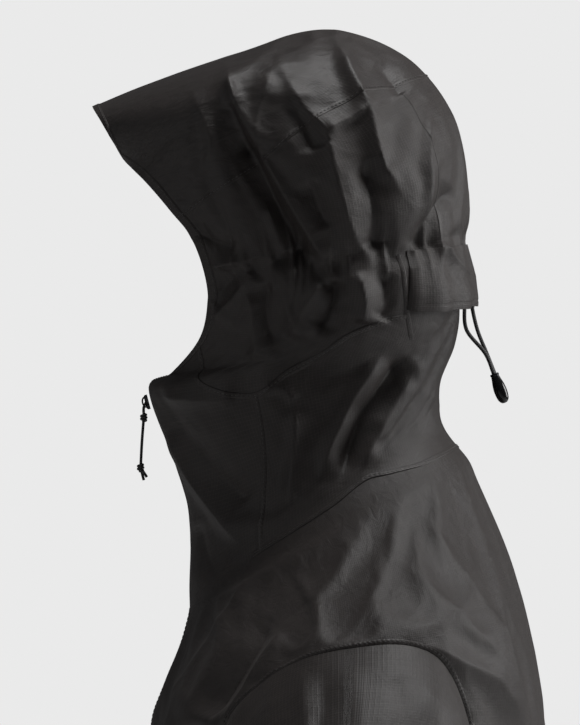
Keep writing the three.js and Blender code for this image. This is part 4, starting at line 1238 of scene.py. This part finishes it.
def pull_cord():
    """Thin cord looped through the slider, knotted under it and again near its two ends."""
    place, _, out = front_frame(np.array(SLIDER_T))
    pull = place + out * (SLIDER_PROUD - PULL_SET_BACK)

    def hang(x, y, z):
        return pull + np.array([x, y, z])

    upper, lower = (-1.6, -10.0), (-3.6, -42.0)
    parts = []
    loop = [hang(-0.8, upper[0], -9), hang(-2.5, -1.6, -3.6), hang(-2.4, -0.3, -0.6), hang(-1.4, 0, 0),
            hang(1.4, 0, 0), hang(2.4, -0.3, -0.6), hang(2.5, -1.6, -3.6), hang(0.8, upper[0], -9)]
    parts.append(tube("pull_loop", spline(loop, 80), PULL_R, CORD, "front_pull", 12))
    for sign in (1, -1):
        strand = [hang(0.7 * sign, *upper), hang(1.5 * sign, upper[0] - 1.2, -26), hang(0.7 * sign, *lower)]
        parts.append(tube("pull_strand", spline(strand, 60), PULL_R, CORD, "front_pull", 12))
        end = [hang(0.4 * sign, *lower), hang(1.4 * sign, lower[0] + 3 + sign, lower[1] - 7 + sign)]
        parts.append(tube("pull_end", spline(end, 16), PULL_R, CORD, "front_pull", 12))
    for y, z in (upper, lower):
        turn = np.linspace(0, 2 * np.pi * 2.6, 90)
        wide = 1.25 + 0.35 * np.sin(turn / 2.6 / 2)
        coil = [hang(wide[k] * math.cos(a), y + wide[k] * math.sin(a), z + 2.3 - 4.6 * k / 89)
                for k, a in enumerate(turn)]
        parts.append(tube("pull_knot", coil, PULL_R, CORD, "front_pull", 12))
    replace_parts(merge("pull_cord", parts), "zip_pull_cord")


def slider():
    """Low moulded slider with a wire bail that the pull cord runs through."""
    place, up, out = front_frame(np.array(SLIDER_T))
    along = np.linspace(-5.0, 4.6, 30)
    parts = []
    u, v = np.meshgrid(along, np.linspace(-1, 1, 24), indexing="ij")
    waist = 2.9 + 1.1 * smooth(-1.0, 4.0, u) - 0.5 * np.exp(-((u + 1.5) / 1.6) ** 2)
    end = np.sqrt(np.clip(1 - np.abs((u + 0.2) / 4.95) ** 8, 0.02, 1))
    top = 1.9 + 2.0 * end * (1 - np.abs(v) ** 4) ** 0.5
    x = waist * end * v
    outer = place + u[..., None] * up + top[..., None] * out + x[..., None] * np.array([1.0, 0, 0])
    inner = place + u[..., None] * up + 1.5 * out + x[..., None] * np.array([1.0, 0, 0])
    parts.append(grid_mesh("slider_body", outer, inner, METAL, np.stack([x, u], -1)))
    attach(parts[0], "front_slider")
    a = np.linspace(0, np.pi, 24)
    arch = [place + up * (3.3 * math.cos(k)) + out * (2.9 + 2.6 * math.sin(k) ** 0.8) for k in a]
    parts.append(tube("slider_bail", arch, 0.55, METAL, "front_slider", 12))
    obj = merge("zip_slider_body", parts)
    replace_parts(obj, "zip_slider")


def cuff_tabs():
    """Stiff tongue on the back of the cuff, rounded at its ends, with grip ribs at the free one."""
    u, v = np.meshgrid(np.linspace(0, 1, 90), np.linspace(-1, 1, 26), indexing="xy")
    narrow = (1 - np.abs(2 * u - 1) ** 10) ** 0.5
    a = lerp(0.35, 1.75, u)
    d = 521 + 12.5 * v * np.maximum(narrow, 0.05)
    for side, sign in SIDES:
        base = sleeve_point(d, a)
        normal = tube_normals(base, arm_centre(d))
        ribs = 0.35 * smooth(0.35, 0.8, np.sin(u * 2 * np.pi * 26))
        ribs = ribs * smooth(0.22, 0.18, u) * smooth(1, 0.75, np.abs(v))
        rim = 0.4 * smooth(0.75, 0.9, np.abs(v)) * smooth(1.0, 0.93, np.abs(v))
        outer = base + normal * (3.0 + ribs + rim)[..., None]
        inner = base + normal * 1.6
        mirror = np.array([sign, 1, 1])
        obj = grid_mesh(f"cuff_tab_tongue_{side}", outer * mirror, inner * mirror, PLASTIC,
                        np.stack([a * 48, d], -1))
        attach(obj, f"cuff_tab_{side[0]}")
        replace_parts(obj, f"cuff_tab_{side}")


FINISH_BY_KIND = (
    ("cord", DRAWCORD), ("button", PLASTIC), ("lock", PLASTIC), ("slider", METAL), ("box", PLASTIC),
    ("tape", FILM),
    ("hang_loop", WEBBING), ("storm_flap", FLAP_CLOTH),
)
SOFT_EDGED = ("button", "lock", "slider", "box", "hang_loop", "garage", "label")


def cad_finishes():
    """Carried-over CAD pieces get a finish by kind, and rounded edges where they are moulded."""
    for name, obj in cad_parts.items():
        chosen = INNER_CLOTH
        for word, material in FINISH_BY_KIND:
            if word in name:
                chosen = material
        obj.data.materials.clear()
        obj.data.materials.append(chosen)
        if any(word in name for word in SOFT_EDGED):
            edge = obj.modifiers.new("edge", "BEVEL")
            edge.width = 0.35 * MM
            edge.segments = 2
            edge.limit_method = "ANGLE"
            edge.angle_limit = math.radians(40)


def hardware():
    cad_finishes()
    rear_cord()
    halo_cord()
    zip_teeth()
    side_zips()
    inside_layers()
    pull_cord()
    slider()
    cuff_tabs()


# ------------------------------------------------------------------ cloth run
RUN_SCALE = 5.0  # the run is made five times life size, where the solver is steady
RUN_FRAMES = 22


def weigh(obj, name, weights):
    """A vertex group from weights, in steps of a twentieth."""
    group = obj.vertex_groups.new(name=name)
    steps = np.round(weights.ravel() * 20).astype(int)
    for level in range(1, 21):
        members = np.nonzero(steps == level)[0]
        if len(members):
            group.add([int(m) for m in members], level / 20, "REPLACE")


def cloth_run(region, t, s, hold, slack, spare, gravity, cap, window):
    """Lets spare cloth buckle along its folds, held to its drawn shape by the hold weights (0 to 1).
    slack says where the spare cloth is, from 0 for none to 1 for all of it.
    window fades the result out where the panel meets a neighbour."""
    tt, ss = np.meshgrid(t, s, indexing="ij")
    start = draped(region, tt, ss)[0]
    rows, cols = tt.shape
    index = np.arange(rows * cols).reshape(rows, cols)
    faces = np.stack([index[:-1, :-1], index[:-1, 1:], index[1:, 1:], index[1:, :-1]], -1).reshape(-1, 4)
    obj = new_object("cloth_run", start.reshape(-1, 3) * MM * RUN_SCALE, faces, SHELL)
    weigh(obj, "hold", hold(tt, ss))
    weigh(obj, "slack", slack(tt, ss, start))
    cloth = obj.modifiers.new("cloth", "CLOTH")
    settings = cloth.settings
    settings.quality = 6
    settings.mass = 0.25
    settings.tension_stiffness = 25
    settings.compression_stiffness = 25
    settings.shear_stiffness = 8
    settings.bending_stiffness = 0.2
    settings.air_damping = 2
    settings.vertex_group_mass = "hold"
    settings.pin_stiffness = 6
    settings.vertex_group_shrink = "slack"
    settings.shrink_min = 0.0
    settings.shrink_max = -spare
    settings.effector_weights.gravity = gravity
    cloth.collision_settings.use_collision = False
    scene = bpy.context.scene
    cloth.point_cache.frame_start = 1
    cloth.point_cache.frame_end = RUN_FRAMES
    for step in range(1, RUN_FRAMES + 1):
        scene.frame_set(step)
    shape = obj.evaluated_get(bpy.context.evaluated_depsgraph_get()).to_mesh()
    moved = np.empty(rows * cols * 3)
    shape.vertices.foreach_get("co", moved)
    moved = moved.reshape(rows, cols, 3) / MM / RUN_SCALE
    offset = moved - start
    length = np.linalg.norm(offset, axis=-1, keepdims=True)
    offset = offset * cap * np.tanh(length / cap) / np.maximum(length, 1e-6)
    bpy.data.objects.remove(obj)
    scene.frame_set(1)
    SETTLED[region] = (t, s, offset * window(tt)[..., None])


def hood_hold(t, s):
    weight = 0.03 + 0.97 * smooth(1100, 1150, t)
    weight = np.maximum(weight, smooth(0.96, 0.99, np.abs(s)))
    weight = np.maximum(weight, smooth(745, 732, t))
    weight = np.maximum(weight, 0.5 * smooth(765, 740, t) * smooth(0.16, 0.08, np.abs(s)))
    return np.maximum(weight, 0.35 * smooth(0.05, 0.02, np.abs(s)))


def hood_slack(t, s, points):
    rise = points[..., 2] - through(GATHER, points[..., 1])
    near = np.exp(-((rise / 30) ** 2)) * smooth(0.95, 0.85, np.abs(s))
    return np.clip(0.7 + 0.3 * near, 0, 1) * smooth(1160, 1100, t)


def body_hold(t, s):
    weight = 0.05 + 0.95 * smooth(695, 708, t)
    weight = np.maximum(weight, smooth(0.975, 0.99, np.abs(s)))
    weight = np.maximum(weight, smooth(16, 6, t))
    ring = np.hypot((t - ARMHOLE_T) / ARMHOLE_RISE, (np.abs(s) - 0.5) / ARMHOLE_REACH)
    return np.maximum(weight, smooth(1.1, 1.0, ring))


def body_slack(t, s, points):
    return 0.4 + 0.6 * smooth(560, 420, t) + 0 * s


def settle_cloth():
    hood_t, hood_s = np.linspace(711, 1241, 170), np.linspace(-1, 1, 181)
    cloth_run("hood", hood_t, hood_s, hood_hold, hood_slack, 0.08, 0.1, 9.0,
              lambda t: 0.6 * smooth(728, 748, t))
    body_t, body_s = np.linspace(4, 727, 150), np.linspace(-1, 1, 201)
    cloth_run("body", body_t, body_s, body_hold, body_slack, 0.04, 0.1, 8.0,
              lambda t: smooth(708, 690, t))


# ------------------------------------------------------------------ floor, light and camera
SHEET_WIDTH = 0.464  # height of the picture at the jacket, m
CAMERA_AWAY = 8.0
VIEW_Y = -0.0186
VIEW_Z = 0.7614
SENSOR = 24.0
FLOOR_HALF = 6.0


def area_light(name, place, target, size, power):
    data = bpy.data.lights.new(name, "AREA")
    data.shape = "RECTANGLE"
    data.size, data.size_y = size
    data.energy = power
    obj = bpy.data.objects.new(name, data)
    bpy.context.scene.collection.objects.link(obj)
    obj.location = place
    way = Vector(target) - Vector(place)
    obj.rotation_euler = way.to_track_quat("-Z", "Y").to_euler()


def studio():
    world = bpy.data.worlds.new("studio")
    bpy.context.scene.world = world
    world.use_nodes = True
    nodes, links = world.node_tree.nodes, world.node_tree.links
    nodes.clear()
    out = nodes.new("ShaderNodeOutputWorld")
    seen = nodes.new("ShaderNodeBackground")
    seen.inputs[0].default_value = (0.823, 0.823, 0.823, 1)
    fill = nodes.new("ShaderNodeBackground")
    fill.inputs[0].default_value = (0.95, 0.97, 1.0, 1)
    fill.inputs[1].default_value = 0.06
    path = nodes.new("ShaderNodeLightPath")
    mix = nodes.new("ShaderNodeMixShader")
    links.new(path.outputs["Is Camera Ray"], mix.inputs[0])
    links.new(fill.outputs[0], mix.inputs[1])
    links.new(seen.outputs[0], mix.inputs[2])
    links.new(mix.outputs[0], out.inputs[0])
    pale = Finish("pale_floor")
    pale.fill(pale.shader, {"Base Color": (0.8, 0.8, 0.8, 1), "Roughness": 0.9})
    corners = [(x * FLOOR_HALF, y * FLOOR_HALF, -0.002) for x, y in ((-1, -1), (1, -1), (1, 1), (-1, 1))]
    new_object("floor", corners, [(0, 1, 2, 3)], pale.material)
    area_light("key", (0.1, 0.8, 3.0), (0, 0, 0.85), (0.7, 0.7), 44)
    area_light("rim", (-0.3, 2.2, 1.3), (0, 0, 0.7), (0.9, 1.2), 30)
    area_light("front", (1.6, -2.2, 1.5), (0, 0, 0.8), (0.8, 1.2), 6)
    camera = bpy.data.cameras.new("camera")
    camera.sensor_fit = "VERTICAL"
    camera.sensor_height = SENSOR
    camera.lens = SENSOR * CAMERA_AWAY / SHEET_WIDTH
    obj = bpy.data.objects.new("camera", camera)
    bpy.context.scene.collection.objects.link(obj)
    obj.location = (CAMERA_AWAY, VIEW_Y, VIEW_Z)
    obj.rotation_euler = (math.pi / 2, 0, math.pi / 2)
    bpy.context.scene.camera = obj
    bpy.context.scene.view_settings.view_transform = "Standard"


# ------------------------------------------------------------------ assembly
settle_cloth()
hood_panels()
hood_seams()
hood_edge()
seam_tapes()
rear_flap()
body_panels()
sleeves()
body_seams()
hardware()
studio()
